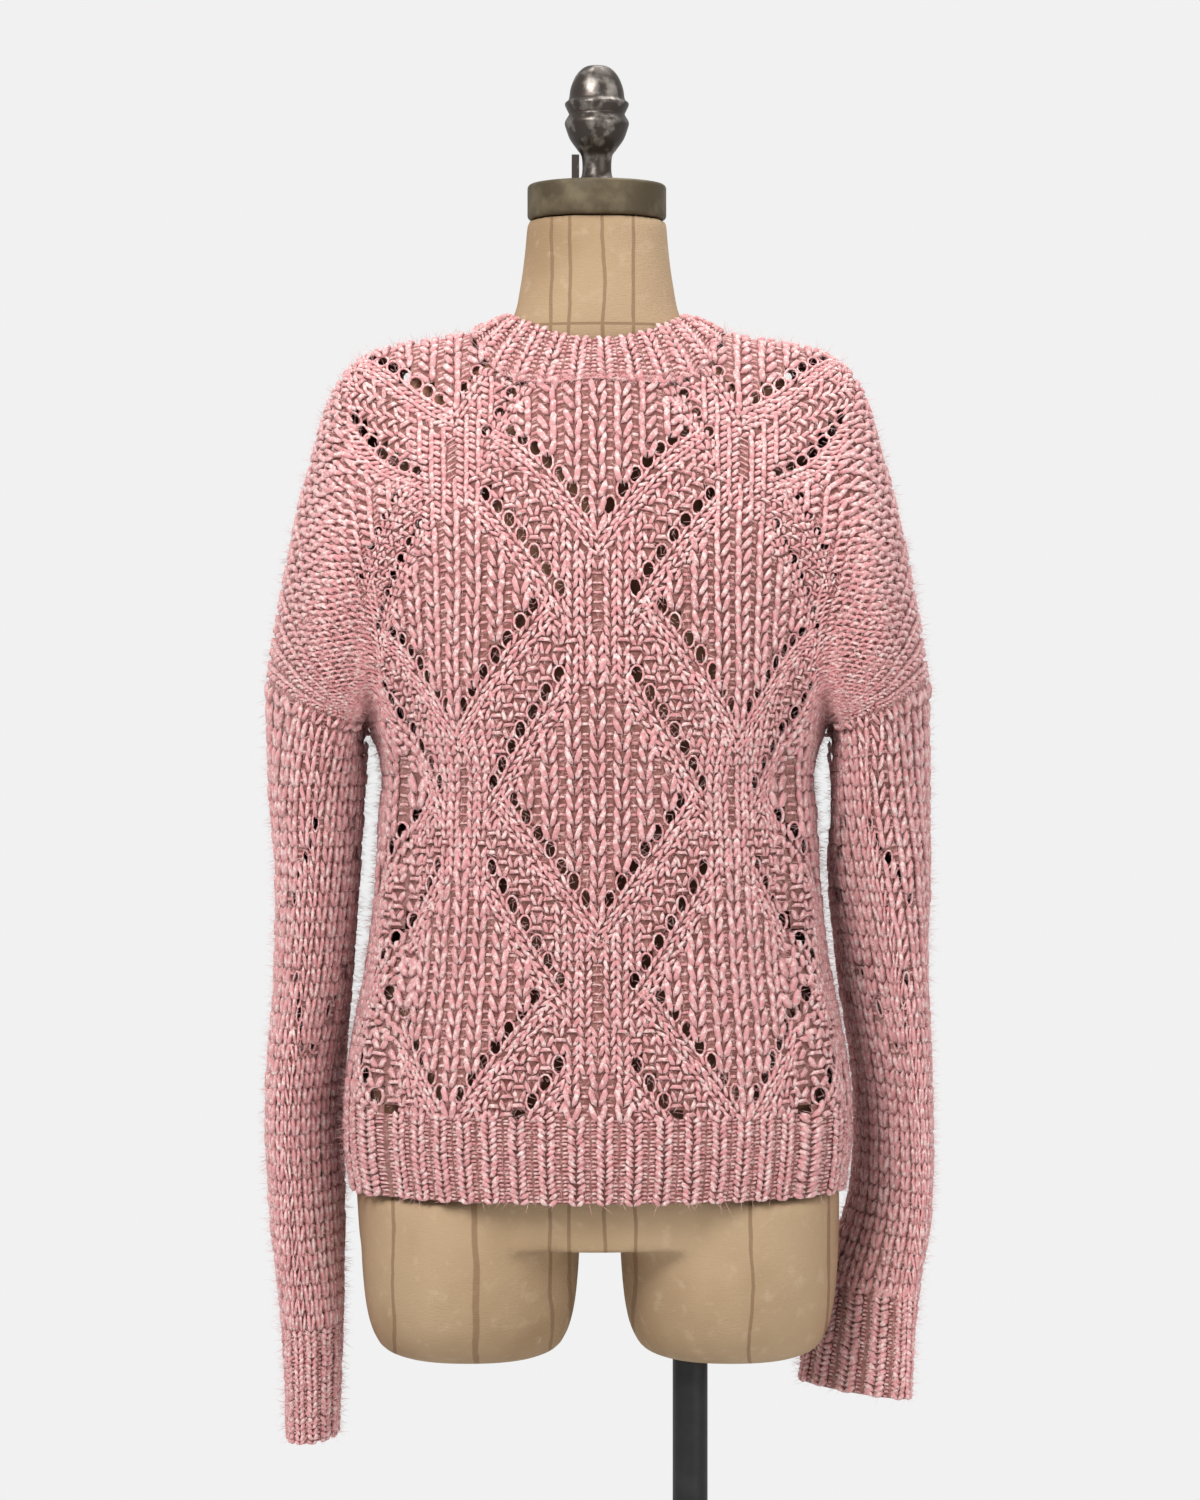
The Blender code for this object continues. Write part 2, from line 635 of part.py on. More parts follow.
def sleeve_courses(hand):
    """The courses of the guide rings, counted down from the armhole."""
    return [0.0] + [(ARMHOLE_HEIGHT - row[0]) / COURSE for row in sleeve_table(hand)]


def cuff_course(hand):
    """The course at which the cuff starts."""
    return sleeve_courses(hand)[-CUFF_ROWS]


def sleeve_place(hand, turn, course):
    """A point of a sleeve's outer surface."""
    turn, course = np.broadcast_arrays(np.asarray(turn, float), np.asarray(course, float))
    rings = sleeve_rings(sleeve_table(hand), turn)
    rings[..., 0] *= hand
    start, out = armhole_points(hand, turn)
    ahead, _ = armhole_points(hand, turn + 0.05)
    behind, _ = armhole_points(hand, turn - 0.05)
    away = unit(np.cross(out, ahead - behind))
    away *= np.sign((away * (rings[0] - start)).sum(-1, keepdims=True))
    rings = np.concatenate([(start + away * ARMHOLE_GAP)[None], rings])
    knots = sleeve_courses(hand)
    weights = smooth_through(knots, np.eye(len(knots)), course)
    return np.einsum("...r,r...x->...x", weights, rings)


def sleeve_facing(hand, turn, course):
    """The way out of a sleeve's cloth."""
    turn, course = np.broadcast_arrays(np.asarray(turn, float), np.asarray(course, float))
    around = sleeve_place(hand, turn + 0.06, course) - sleeve_place(hand, turn - 0.06, course)
    along = sleeve_place(hand, turn, course + 0.4) - sleeve_place(hand, turn, course - 0.4)
    out = unit(np.cross(along, around)) * hand
    level = np.abs(course - cuff_course(hand)) < 0.4
    out[level, 2] = 0
    top = course < 0.2
    _, rim = armhole_points(hand, turn)
    out[top] = rim[top]
    return unit(out)


def sleeve_holes(half):
    """The corners of the eyelets cut in one half of a sleeve."""
    holes = []
    for middle, low in SLEEVE_LOZENGES[half]:
        for sign in (-1, 1):
            for k in range(SLEEVE_ARM):
                holes.append(eyelet_corners(middle + sign * (k + 1), low - LOWER_STEP * k))
                high = low - UPPER_COURSE + UPPER_STEP * k
                holes.append(eyelet_corners(middle + sign * (UPPER_START + k), high))
    return holes


def make_sleeve(hand, half):
    """The front or the back half of a sleeve, from the armhole to the cuff."""
    side = "right" if hand > 0 else "left"
    start = 0.0 if half == "front" else math.pi
    end = cuff_course(hand) - SEAM_GAP / 2 / COURSE
    width = float(SLEEVE_HALF_WALES)
    rows = list(np.linspace(0, end, SLEEVE_ROWS + 1))
    arm = np.linspace(0, width, ARMHOLE_STEPS + 1)
    loop = [(w, 0.0) for w in arm]
    loop += [(width, c) for c in rows[1:-1]]
    loop += [(w, end) for w in arm[::-1]]
    loop += [(0.0, c) for c in rows[-2:0:-1]]
    loops = [loop] + sleeve_holes(half)
    metric = [[(w * WALE, c * COURSE) for w, c in one] for one in loops]
    raised, plain = [], []
    for c in rows[1:-1]:
        for w in range(1, SLEEVE_HALF_WALES):
            if clear_of((w * WALE, c * COURSE), metric, 0.0035):
                raised.append((float(w), float(c)))
                if w % 3 == 0:
                    plain.append((float(w), float(c)))

    def place(wale, course):
        turn = start + wale / width * math.pi
        spot = sleeve_place(hand, turn, course)
        ahead = sleeve_place(hand, turn + 0.02, course) - sleeve_place(hand, turn - 0.02, course)
        push = (wale < 1e-6) * 1.0 - (wale > width - 1e-6) * 1.0
        return spot + unit(ahead) * (push * SEAM_GAP / 2)[:, None]

    def facing(wale, course):
        return sleeve_facing(hand, start + wale / width * math.pi, course)

    def height(wale, course):
        fade = np.clip(np.minimum(wale, width - wale) / 1.5, 0, 1)
        return 0.5 + (ribbed(wale, course, 0.0, end) - 0.5) * fade

    knit_wall(f"sleeve_{side}_{half}", place, facing, loops, raised, plain, height)


def make_cuff(hand):
    """A ribbed cuff, one ring of cloth."""
    side = "right" if hand > 0 else "left"
    columns = 4 * CUFF_HALF_RIBS
    turns = np.linspace(0, 2 * math.pi, columns, endpoint=False)
    start = cuff_course(hand) + SEAM_GAP / 2 / COURSE
    turn, course = np.meshgrid(turns, np.linspace(start, sleeve_courses(hand)[-1], 3))
    place, out = sleeve_place(hand, turn, course), sleeve_facing(hand, turn, course)
    outer, inner = place - out * rib_sink(columns), place - out * (WALL + RAISED)
    grid_wall(f"cuff_{side}", outer, inner, True)


def band_rows():
    """The neckband's outer points and its way out: three rows from the neckline seam up."""
    turn = np.linspace(0, 2 * math.pi, 2 * BAND_RIBS, endpoint=False)
    front = np.sin(turn) > 0
    wale = NECK_WALE * np.cos(turn)
    seam, out = np.empty((len(turn), 3)), np.empty((len(turn), 3))
    for side, mask in (("front", front), ("back", ~front)):
        course = neck_course(side, wale[mask])
        seam[mask] = panel_place(side, wale[mask], course)
        out[mask] = panel_facing(side, wale[mask], course)
    level = np.abs(np.sin(turn)) < 1e-9
    seam[level, 1], out[level, 1] = 0, 0
    out = unit(out)
    rise = np.sin(turn) ** 2
    depth = np.where(front, -BAND_FRONT, -BAND_BACK)
    high = np.where(front, BAND_FRONT_HEIGHT, BAND_BACK_HEIGHT)
    top = np.column_stack([BAND_HALF_WIDTH * np.cos(turn), depth * np.sin(turn),
                           BAND_SIDE_HEIGHT + (high - BAND_SIDE_HEIGHT) * rise])
    round_it = np.roll(seam, -1, axis=0) - np.roll(seam, 1, axis=0)
    away = unit(np.cross(out, round_it))
    away *= np.sign((away * (top - seam)).sum(1, keepdims=True))
    start = seam + away * SEAM_GAP
    round_top = np.roll(top, -1, axis=0) - np.roll(top, 1, axis=0)
    top_out = unit(np.cross(top - start, round_top))
    top_out *= np.sign((top_out * out).sum(1, keepdims=True))
    middle_out = unit(out + top_out)
    middle = (start + top) / 2 + middle_out * BAND_BULGE
    return np.array([start, middle, top]), np.array([out, middle_out, top_out])


def make_neckband():
    """The ribbed crew neckband, one ring of cloth."""
    place, out = band_rows()
    outer, inner = place - out * rib_sink(2 * BAND_RIBS), place - out * (WALL + RAISED)
    grid_wall("neckband", outer, inner, True)


def loft(name, table, middle_x, sides):
    """A closed solid through level girths, each with its own front and back depth."""
    turn = np.linspace(0, 2 * math.pi, sides, endpoint=False)
    power = 2 / FORM_SQUARENESS
    across = np.sign(np.cos(turn)) * np.abs(np.cos(turn)) ** power
    deep = np.sign(np.sin(turn)) * np.abs(np.sin(turn)) ** power
    rings = []
    for height, half_width, front, back in table:
        y = np.where(deep < 0, front, back) * deep
        rings.append(np.column_stack([middle_x + half_width * across, y, np.full(sides, height)]))
    faces = [list(range(sides)), [(len(rings) - 1) * sides + k for k in range(sides)]]
    for r in range(len(rings) - 1):
        for c in range(sides):
            a, b = r * sides + c, r * sides + (c + 1) % sides
            faces.append([a, b, b + sides, a + sides])
    return mesh_from(name, np.vstack(rings), faces)


def make_form():
    """The linen-covered torso and neck, joined to its two rounded thigh stubs."""
    torso = new_object("form", loft("form", TORSO, 0.0, FORM_SIDES), "linen")
    torso.data.shade_smooth()
    for side, middle_x in THIGH_CENTRES.items():
        name = f"thigh_{side}"
        stub = bpy.data.objects.new(name, loft(name, THIGH, middle_x, THIGH_SIDES))
        stub.hide_render = True
        stub.display_type = "WIRE"
        CUTTERS.objects.link(stub)
        join = torso.modifiers.new(name, "BOOLEAN")
        join.operation = "UNION"
        join.object = stub


def turned(name, profile, sides, finish, middle_x=0.0):
    """A turned piece from a profile of radius and height, run down its outer side."""
    mesh = bpy.data.meshes.new(name)
    edges = [(k, k + 1) for k in range(len(profile) - 1)]
    if profile[0][0] > 0:
        edges.append((len(profile) - 1, 0))
    mesh.from_pydata([(radius, 0, height) for radius, height in profile], edges, [])
    piece = new_object(name, mesh, finish)
    piece.location.x = middle_x
    screw = piece.modifiers.new("Turn", "SCREW")
    screw.steps = screw.render_steps = sides
    screw.use_merge_vertices = True
    screw.merge_threshold = 0.00001
    return piece


def make_neck_top():
    """The bronze cap on the neck, and the iron finial with its catch."""
    soft = 0.3 * CAP_ROUND
    cap = [(0, CAP_TOP), (CAP_RADIUS - CAP_ROUND, CAP_TOP), (CAP_RADIUS - soft, CAP_TOP - soft),
           (CAP_RADIUS, CAP_TOP - CAP_ROUND), (CAP_RADIUS, CAP_BOTTOM), (0, CAP_BOTTOM)]
    turned("neck_cap", cap, CAP_SIDES, "bronze")
    turned("neck_finial", FINIAL, FINIAL_SIDES, "iron")
    bpy.ops.mesh.primitive_cube_add(size=1, location=CATCH_PLACE)
    catch = bpy.context.active_object
    sized = catch.data
    sized.transform(Matrix.Diagonal(CATCH_SIZE + (1.0,)))
    sized.name = "finial_catch"
    bpy.data.objects.remove(catch)
    new_object("finial_catch", sized, "iron").location = CATCH_PLACE


def make_stand():
    """The pole under one thigh, in its socket on a plain round base."""
    pole = [(0, POLE_TOP), (POLE_RADIUS, POLE_TOP), (POLE_RADIUS, BASE_THICK + SEAM_GAP),
            (0, BASE_THICK + SEAM_GAP)]
    turned("pole", pole, POLE_SIDES, "black", POLE_X)
    bore = POLE_RADIUS + SEAM_GAP
    socket = [(bore, POLE_SOCKET_TOP), (POLE_SOCKET_NECK, POLE_SOCKET_TOP),
              (POLE_SOCKET_RADIUS, BASE_THICK + SEAM_GAP), (bore, BASE_THICK + SEAM_GAP)]
    turned("pole_socket", socket, POLE_SIDES, "black", POLE_X)
    base = [(0, BASE_THICK), (BASE_RADIUS - BASE_ROUND, BASE_THICK),
            (BASE_RADIUS, BASE_THICK - BASE_ROUND), (BASE_RADIUS, 0), (0, 0)]
    turned("base", base, BASE_SIDES, "black")


def centre_on_the_box():
    """Moves the whole part so that the middle of its box's underside is the origin."""
    bpy.context.view_layer.update()
    graph = bpy.context.evaluated_depsgraph_get()
    corners = []
    for piece in PART.objects:
        shown = piece.evaluated_get(graph)
        corners += [shown.matrix_world @ Vector(corner) for corner in shown.bound_box]
    low = np.min(corners, axis=0)
    high = np.max(corners, axis=0)
    shift = Vector((-(low[0] + high[0]) / 2, -(low[1] + high[1]) / 2, -low[2]))
    for piece in list(PART.objects) + list(CUTTERS.objects):
        piece.location += shift


for old in list(bpy.data.objects):
    bpy.data.objects.remove(old)
PART = bpy.data.collections.new("sweater_on_dress_form")
CUTTERS = bpy.data.collections.new("cutters")
for group in (PART, CUTTERS):
    bpy.context.scene.collection.children.link(group)

for panel_side in ("front", "back"):
    print(panel_side, "eyelets", make_panel(panel_side))
    make_hem(panel_side)
for sleeve_hand in (1, -1):
    for sleeve_half in ("front", "back"):
        make_sleeve(sleeve_hand, sleeve_half)
    make_cuff(sleeve_hand)
make_neckband()
make_form()
make_neck_top()
make_stand()
centre_on_the_box()
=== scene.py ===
# %% [markdown]
# This notebook dresses a chunky openwork pullover on its dress form. The solids that carry
# it come from the frame; here every stitch, eyelet, hair and finish is made around them.

# %% Open the frame
import math

import bmesh
import bpy
import numpy as np
from mathutils import Matrix, Vector


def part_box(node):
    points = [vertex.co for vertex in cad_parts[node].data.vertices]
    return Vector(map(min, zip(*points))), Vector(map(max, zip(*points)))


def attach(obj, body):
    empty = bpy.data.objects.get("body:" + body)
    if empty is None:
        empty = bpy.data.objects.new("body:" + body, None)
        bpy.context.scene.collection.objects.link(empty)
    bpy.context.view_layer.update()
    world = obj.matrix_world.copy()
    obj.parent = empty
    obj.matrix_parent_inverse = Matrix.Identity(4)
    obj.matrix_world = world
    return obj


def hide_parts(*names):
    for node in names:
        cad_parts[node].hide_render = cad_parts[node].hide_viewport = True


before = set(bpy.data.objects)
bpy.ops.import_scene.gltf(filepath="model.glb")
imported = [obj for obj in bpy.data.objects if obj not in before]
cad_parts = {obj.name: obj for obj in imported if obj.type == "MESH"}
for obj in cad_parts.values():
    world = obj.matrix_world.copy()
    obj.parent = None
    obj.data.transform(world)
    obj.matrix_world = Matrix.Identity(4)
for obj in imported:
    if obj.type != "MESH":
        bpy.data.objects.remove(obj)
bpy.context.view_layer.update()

base_low, base_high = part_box("base")
MIDDLE = np.array([(base_low[0] + base_high[0]) / 2, (base_low[1] + base_high[1]) / 2, 0.0])

# %% [markdown]
# The camera comes first. The picture was taken level with the chest from about three metres,
# with a long lens, so the form stands almost without perspective.

# %% The camera, the lights and the floor
CAMERA_AWAY = 3.25
CAMERA_HEIGHT = 1.095
LENS = 107.0
FRAME_LONG_SIDE = 36.0
PHOTO_MIDDLE_X = 0.0023
PHOTO_MIDDLE_Z = 1.0602
AMBIENT = 0.62


def make_camera():
    """A level camera, shifted down a little as the picture was framed."""
    data = bpy.data.cameras.new("camera")
    data.lens = LENS
    data.sensor_width = FRAME_LONG_SIDE
    data.sensor_fit = "AUTO"
    data.shift_y = (PHOTO_MIDDLE_Z - CAMERA_HEIGHT) / CAMERA_AWAY * LENS / FRAME_LONG_SIDE
    camera = bpy.data.objects.new("camera", data)
    camera.location = (MIDDLE[0] + PHOTO_MIDDLE_X, -CAMERA_AWAY, CAMERA_HEIGHT)
    camera.rotation_euler = (math.pi / 2, 0, 0)
    bpy.context.scene.collection.objects.link(camera)
    bpy.context.scene.camera = camera


def make_light(name, place, aim, size, power):
    """A soft square light that looks at a point."""
    data = bpy.data.lights.new(name, "AREA")
    data.size = size
    data.energy = power
    lamp = bpy.data.objects.new(name, data)
    lamp.location = place
    lamp.rotation_euler = (Vector(aim) - Vector(place)).to_track_quat("-Z", "Y").to_euler()
    bpy.context.scene.collection.objects.link(lamp)


def make_studio():
    """A pale floor, three soft lights and an even grey world."""
    world = bpy.data.worlds.new("studio")
    world.use_nodes = True
    nodes, links = world.node_tree.nodes, world.node_tree.links
    sky = nodes["Background"]
    sky.inputs["Color"].default_value = (0.88, 0.88, 0.88, 1)
    seen = nodes.new("ShaderNodeLightPath")
    level = nodes.new("ShaderNodeMapRange")
    level.inputs["To Min"].default_value = AMBIENT
    level.inputs["To Max"].default_value = 1.0
    links.new(seen.outputs["Is Camera Ray"], level.inputs["Value"])
    links.new(level.outputs["Result"], sky.inputs["Strength"])
    bpy.context.scene.world = world
    bpy.context.scene.view_settings.view_transform = "Standard"
    make_light("key", (-1.3, -2.3, 3.0), (0, 0, 1.1), 1.5, 78)
    make_light("fill", (2.2, -2.4, 1.5), (0, 0, 1.0), 1.8, 26)
    make_light("top", (0.3, 0.3, 3.2), (0, 0, 1.2), 1.6, 30)
    floor = bpy.data.meshes.new("floor")
    edge = 1.9
    floor.from_pydata([(-edge, -edge, 0), (edge, -edge, 0), (edge, edge, 0), (-edge, edge, 0)],
                      [], [(0, 1, 2, 3)])
    stand = bpy.data.objects.new("floor", floor)
    bpy.context.scene.collection.objects.link(stand)
    paint = bpy.data.materials.new("floor")
    paint.use_nodes = True
    shader = paint.node_tree.nodes["Principled BSDF"]
    shader.inputs["Base Color"].default_value = (0.66, 0.66, 0.66, 1)
    shader.inputs["Roughness"].default_value = 0.9
    floor.materials.append(paint)


make_camera()
make_studio()

# %% [markdown]
# A pullover's cloth follows the figure in a few guide girths. The same named sizes as the
# solids' give a smooth surface on which each stitch finds its place by wale and course.

# %% The sizes of the knit and the figure
# The knit's gauge and seams, in metres.
WALE = 0.0087
COURSE = 0.00655
SEAM_GAP = 0.0003
ARMHOLE_GAP = 0.0005

# Where the panels end, in wales and courses.
HEM_TOP_HEIGHT = 0.803
HEM_COURSE = -9.2
UNDERARM = 41.0
SHOULDER = 100.0
NECK_WALE = 10.6
TIP_WALE = 21.0
ARMHOLE = 50.0
SIDE_WALES = 29.0
PLAIN_WALES = 18.0
FRONT_NECK_DROP = 20.0
BACK_NECK_DROP = 12.0

# The girths of the body, from the hem up to just under the arm.
# Columns: course, half_width, front, back.
BODY = (
    (-9.2, 0.181, 0.130, 0.120),
    (-4.6, 0.185, 0.135, 0.125),
    (0.0, 0.1855, 0.137, 0.126),
    (8.0, 0.179, 0.136, 0.122),
    (16.0, 0.169, 0.135, 0.117),
    (24.0, 0.163, 0.135, 0.114),
    (32.0, 0.160, 0.136, 0.114),
    (37.0, 0.158, 0.137, 0.115),
)
SQUARENESS = 2.3
# How far round a quarter of the girth each guide wale lies.
GUIDE_WALES = (0.0, NECK_WALE, TIP_WALE, 32.0, 41.0, ARMHOLE)
GUIDE_SHARES = (0.0, 0.37, 0.68, 0.84, 0.93, 1.0)

# The yoke and the dropped shoulder, at the guide wales: x out, y towards the seam plane, z.
# Columns: course, centre, neck, tip, upper cape, lower cape, armhole.
FRONT_YOKE = (
    (41.0, (0, 0.137, 1.070), (0.090, 0.122, 1.070), (0.143, 0.082, 1.070),
     (0.157, 0.050, 1.069), (0.162, 0.024, 1.069), (0.166, 0, 1.070)),
    (60.0, (0, 0.124, 1.196), (0.092, 0.119, 1.190), (0.158, 0.090, 1.162),
     (0.170, 0.086, 1.118), (0.172, 0.079, 1.092), (0.176, 0.070, 1.078)),
    (80.0, (0, 0.079, 1.327), (0.093, 0.075, 1.292), (0.172, 0.078, 1.236),
     (0.198, 0.086, 1.170), (0.205, 0.087, 1.125), (0.212, 0.080, 1.090)),
)
BACK_YOKE = (
    (41.0, (0, 0.116, 1.070), (0.090, 0.105, 1.070), (0.143, 0.073, 1.070),
     (0.157, 0.046, 1.069), (0.162, 0.022, 1.069), (0.166, 0, 1.070)),
    (60.0, (0, 0.118, 1.190), (0.092, 0.112, 1.184), (0.160, 0.090, 1.160),
     (0.170, 0.086, 1.116), (0.172, 0.079, 1.091), (0.176, 0.070, 1.078)),
    (80.0, (0, 0.096, 1.308), (0.093, 0.086, 1.296), (0.172, 0.080, 1.240),
     (0.198, 0.086, 1.170), (0.205, 0.087, 1.125), (0.212, 0.080, 1.090)),
)
SHOULDER_LINE = ((0, 0, 1.400), (0.0925, 0, 1.3675), (0.178, 0, 1.344),
                 (0.2125, 0, 1.262), (0.231, 0, 1.180), (0.243, 0, 1.105))
# The first courses past the armhole seam, which steer the edge of the cape.
PAST_ARMHOLE = {41.0: (0.171, 0, 1.050), 60.0: (0.183, 0.064, 1.045),
                80.0: (0.218, 0.072, 1.045), 100.0: (0.2445, 0, 1.060)}

# The eyelet lozenges: a lattice of upright columns, each half a repeat above its neighbour.
COLUMN_WALES = 12
REPEAT = 42.0
FIRST_POINT = (23.6, 2.6)
LOWER_STEP = 1.75
UPPER_STEP = 2.0
UPPER_START = 3
UPPER_COURSE = 24.3

# The sleeves, hanging flattened: the front and the back fold, and the bulge to each side.
# Columns: height, front_x, front_y, back_x, back_y, inner, outer.
RIGHT_SLEEVE = (
    (1.030, 0.194, -0.074, 0.196, 0.086, 0.025, 0.048),
    (0.980, 0.202, -0.068, 0.184, 0.092, 0.022, 0.050),
    (0.900, 0.217, -0.058, 0.184, 0.098, 0.017, 0.038),
    (0.800, 0.233, -0.047, 0.194, 0.096, 0.014, 0.024),
    (0.715, 0.233, -0.045, 0.186, 0.090, 0.013, 0.022),
    (0.668, 0.226, -0.044, 0.164, 0.084, 0.012, 0.024),
    (0.630, 0.225, -0.043, 0.157, 0.076, 0.013, 0.020),
    (0.593, 0.224, -0.042, 0.150, 0.068, 0.015, 0.018),
)
LEFT_SLEEVE = (
    (1.030, 0.203, -0.075, 0.204, 0.086, 0.034, 0.037),
    (0.980, 0.206, -0.069, 0.202, 0.085, 0.031, 0.032),
    (0.900, 0.213, -0.062, 0.200, 0.084, 0.027, 0.029),
    (0.800, 0.225, -0.059, 0.197, 0.085, 0.020, 0.028),
    (0.715, 0.222, -0.056, 0.198, 0.074, 0.021, 0.025),
    (0.640, 0.214, -0.051, 0.201, 0.055, 0.021, 0.022),
    (0.602, 0.213, -0.051, 0.202, 0.050, 0.020, 0.020),
    (0.563, 0.212, -0.052, 0.203, 0.046, 0.019, 0.019),
)
CUFF_ROWS = 3
ARMHOLE_HEIGHT = 1.085
SLEEVE_HALF_WALES = 22
CUFF_HALF_RIBS = 6
# The neckband's top edge.
BAND_HALF_WIDTH = 0.066
BAND_FRONT = 0.0600
BAND_BACK = 0.0585
BAND_FRONT_HEIGHT = 1.3577
BAND_SIDE_HEIGHT = 1.3785
BAND_BACK_HEIGHT = 1.3830
BAND_BULGE = 0.0015
BAND_RIBS = 26
RIBS_HALF_PANEL = 13

# The dress form, in girths from the crotch up, then its thigh stubs.
# Columns: height, half_width, front, back.
TORSO = (
    (0.706, 0.1730, 0.104, 0.112),
    (0.750, 0.1755, 0.107, 0.114),
    (0.800, 0.1765, 0.108, 0.114),
    (0.850, 0.1680, 0.105, 0.106),
    (0.905, 0.1500, 0.098, 0.096),
    (0.960, 0.1350, 0.094, 0.088),
    (1.000, 0.1310, 0.097, 0.085),
    (1.050, 0.1360, 0.108, 0.088),
    (1.100, 0.1440, 0.118, 0.093),
    (1.140, 0.1460, 0.120, 0.097),
    (1.190, 0.1460, 0.108, 0.099),
    (1.240, 0.1520, 0.088, 0.094),
    (1.285, 0.1600, 0.066, 0.078),
    (1.315, 0.1570, 0.052, 0.060),
    (1.332, 0.1330, 0.048, 0.050),
    (1.344, 0.1020, 0.047, 0.047),
    (1.356, 0.0770, 0.048, 0.047),
    (1.372, 0.0625, 0.049, 0.048),
    (1.396, 0.0562, 0.050, 0.049),
    (1.422, 0.0525, 0.0495, 0.049),
    (1.446, 0.0505, 0.0490, 0.049),
)
THIGH_CENTRES = {"left": -0.0920, "right": 0.0965}
THIGH = (
    (0.6200, 0.046, 0.052, 0.056),
    (0.6235, 0.058, 0.066, 0.070),
    (0.6330, 0.068, 0.080, 0.084),
    (0.6480, 0.0740, 0.090, 0.094),
    (0.6700, 0.0775, 0.097, 0.103),
    (0.7000, 0.0795, 0.101, 0.108),
    (0.7400, 0.0800, 0.103, 0.110),
)
FORM_SQUARENESS = 2.15

# The neck cap, the finial, the pole and the base.
CAP_RADIUS = 0.0506
CAP_BOTTOM = 1.4463
CAP_TOP = 1.4720
CAP_ROUND = 0.0030
# Columns: radius, height.
FINIAL = (
    (0.0000, 1.5593), (0.0085, 1.5580), (0.0150, 1.5520), (0.0190, 1.5430),
    (0.0205, 1.5345), (0.0234, 1.5310), (0.0212, 1.5255), (0.0205, 1.5230),
    (0.0234, 1.5175), (0.0222, 1.5120), (0.0195, 1.5050), (0.0142, 1.4975),
    (0.0110, 1.4920), (0.0110, 1.4790), (0.0150, 1.4723), (0.0000, 1.4723),
)
POLE_X = 0.068
POLE_RADIUS = 0.01275
POLE_TOP = 0.6197
BASE_RADIUS = 0.200
BASE_THICK = 0.016
BASE_ROUND = 0.004


# %% [markdown]
# A panel is a smooth blend of its guide points. A place is found by wale and course, held on
# its own side of the side seam, and the way out of the cloth comes from its neighbours.

# %% The surface of the panels
def smooth_through(knots, values, at):
    """A smooth curve through values at the knots, read at each place in at."""
    knots = np.asarray(knots, float)
    values = np.asarray(values, float)
    at = np.clip(np.asarray(at, float), knots[0], knots[-1])
    steps = np.diff(knots)
    rises = np.diff(values, axis=0) / steps.reshape((-1,) + (1,) * (values.ndim - 1))
    slopes = np.empty_like(values)
    slopes[0], slopes[-1] = rises[0], rises[-1]
    before = steps[:-1].reshape((-1,) + (1,) * (values.ndim - 1))
    after = steps[1:].reshape((-1,) + (1,) * (values.ndim - 1))
    slopes[1:-1] = (rises[:-1] * after + rises[1:] * before) / (before + after)
    k = np.clip(np.searchsorted(knots, at, side="right") - 1, 0, len(steps) - 1)
    t = (at - knots[k]) / steps[k]
    shape = t.shape + (1,) * (values.ndim - 1)
    t, h = t.reshape(shape), steps[k].reshape(shape)
    low, high, m0, m1 = values[k], values[k + 1], slopes[k], slopes[k + 1]
    return (
        (2 * t**3 - 3 * t**2 + 1) * low + (t**3 - 2 * t**2 + t) * h * m0
        + (3 * t**2 - 2 * t**3) * high + (t**3 - t**2) * h * m1
    )


def unit(vectors):
    """Each vector at length one."""
    vectors = np.asarray(vectors, float)
    return vectors / np.maximum(np.linalg.norm(vectors, axis=-1, keepdims=True), 1e-12)


def girth_points(half_width, depth, shares):
    """Points at shares of the way from the centre of a panel round to its side seam."""
    turn = np.linspace(0, math.pi / 2, 241)
    power = 2 / SQUARENESS
    across = half_width * np.sin(turn) ** power
    forward = depth * np.cos(turn) ** power
    along = np.concatenate([[0], np.cumsum(np.hypot(np.diff(across), np.diff(forward)))])
    places = np.asarray(shares) * along[-1]
    return np.interp(places, along, across), np.interp(places, along, forward)


def panel_rows(side):
    """The guide courses of a panel and its guide points: rows by wales by (x, y, z)."""
    courses, rows = [], []
    for course, half_width, front, back in BODY:
        x, y = girth_points(half_width, front if side == "front" else back, GUIDE_SHARES)
        _, other = girth_points(half_width, back if side == "front" else front, GUIDE_SHARES)
        z = np.full(len(x), HEM_TOP_HEIGHT + course * COURSE)
        row = np.column_stack([x, y, z])
        courses.append(course)
        rows.append(np.vstack([row, [row[-2][0], -other[-2], row[-2][2]]]))
    for course, *places in FRONT_YOKE if side == "front" else BACK_YOKE:
        courses.append(course)
        rows.append(np.array(list(places) + [PAST_ARMHOLE[course]], float))
    courses.append(SHOULDER)
    rows.append(np.array(list(SHOULDER_LINE) + [PAST_ARMHOLE[SHOULDER]], float))
    # The other panel's yoke, past the shoulder line, keeps the shoulder round.
    beyond = (BACK_YOKE if side == "front" else FRONT_YOKE)[-1]
    over = np.array(list(beyond[1:]) + [PAST_ARMHOLE[beyond[0]]], float)
    over[:, 1] *= -1
    courses.append(2 * SHOULDER - beyond[0])
    rows.append(over)
    return courses, np.array(rows)


def mirrored_wales(rows):
    """The guide points of both halves of a panel, from the left armhole to the right."""
    left = rows[:, :0:-1, :].copy()
    left[:, :, 0] *= -1
    wales = np.array(GUIDE_WALES + (2 * ARMHOLE - GUIDE_WALES[-2],))
    return np.concatenate([-wales[:0:-1], wales]), np.concatenate([left, rows], axis=1)


FACING = {"front": -1, "back": 1}
PANELS = {}
for panel_side in ("front", "back"):
    guide_courses, guide_rows = panel_rows(panel_side)
    PANELS[panel_side] = (guide_courses,) + mirrored_wales(guide_rows)


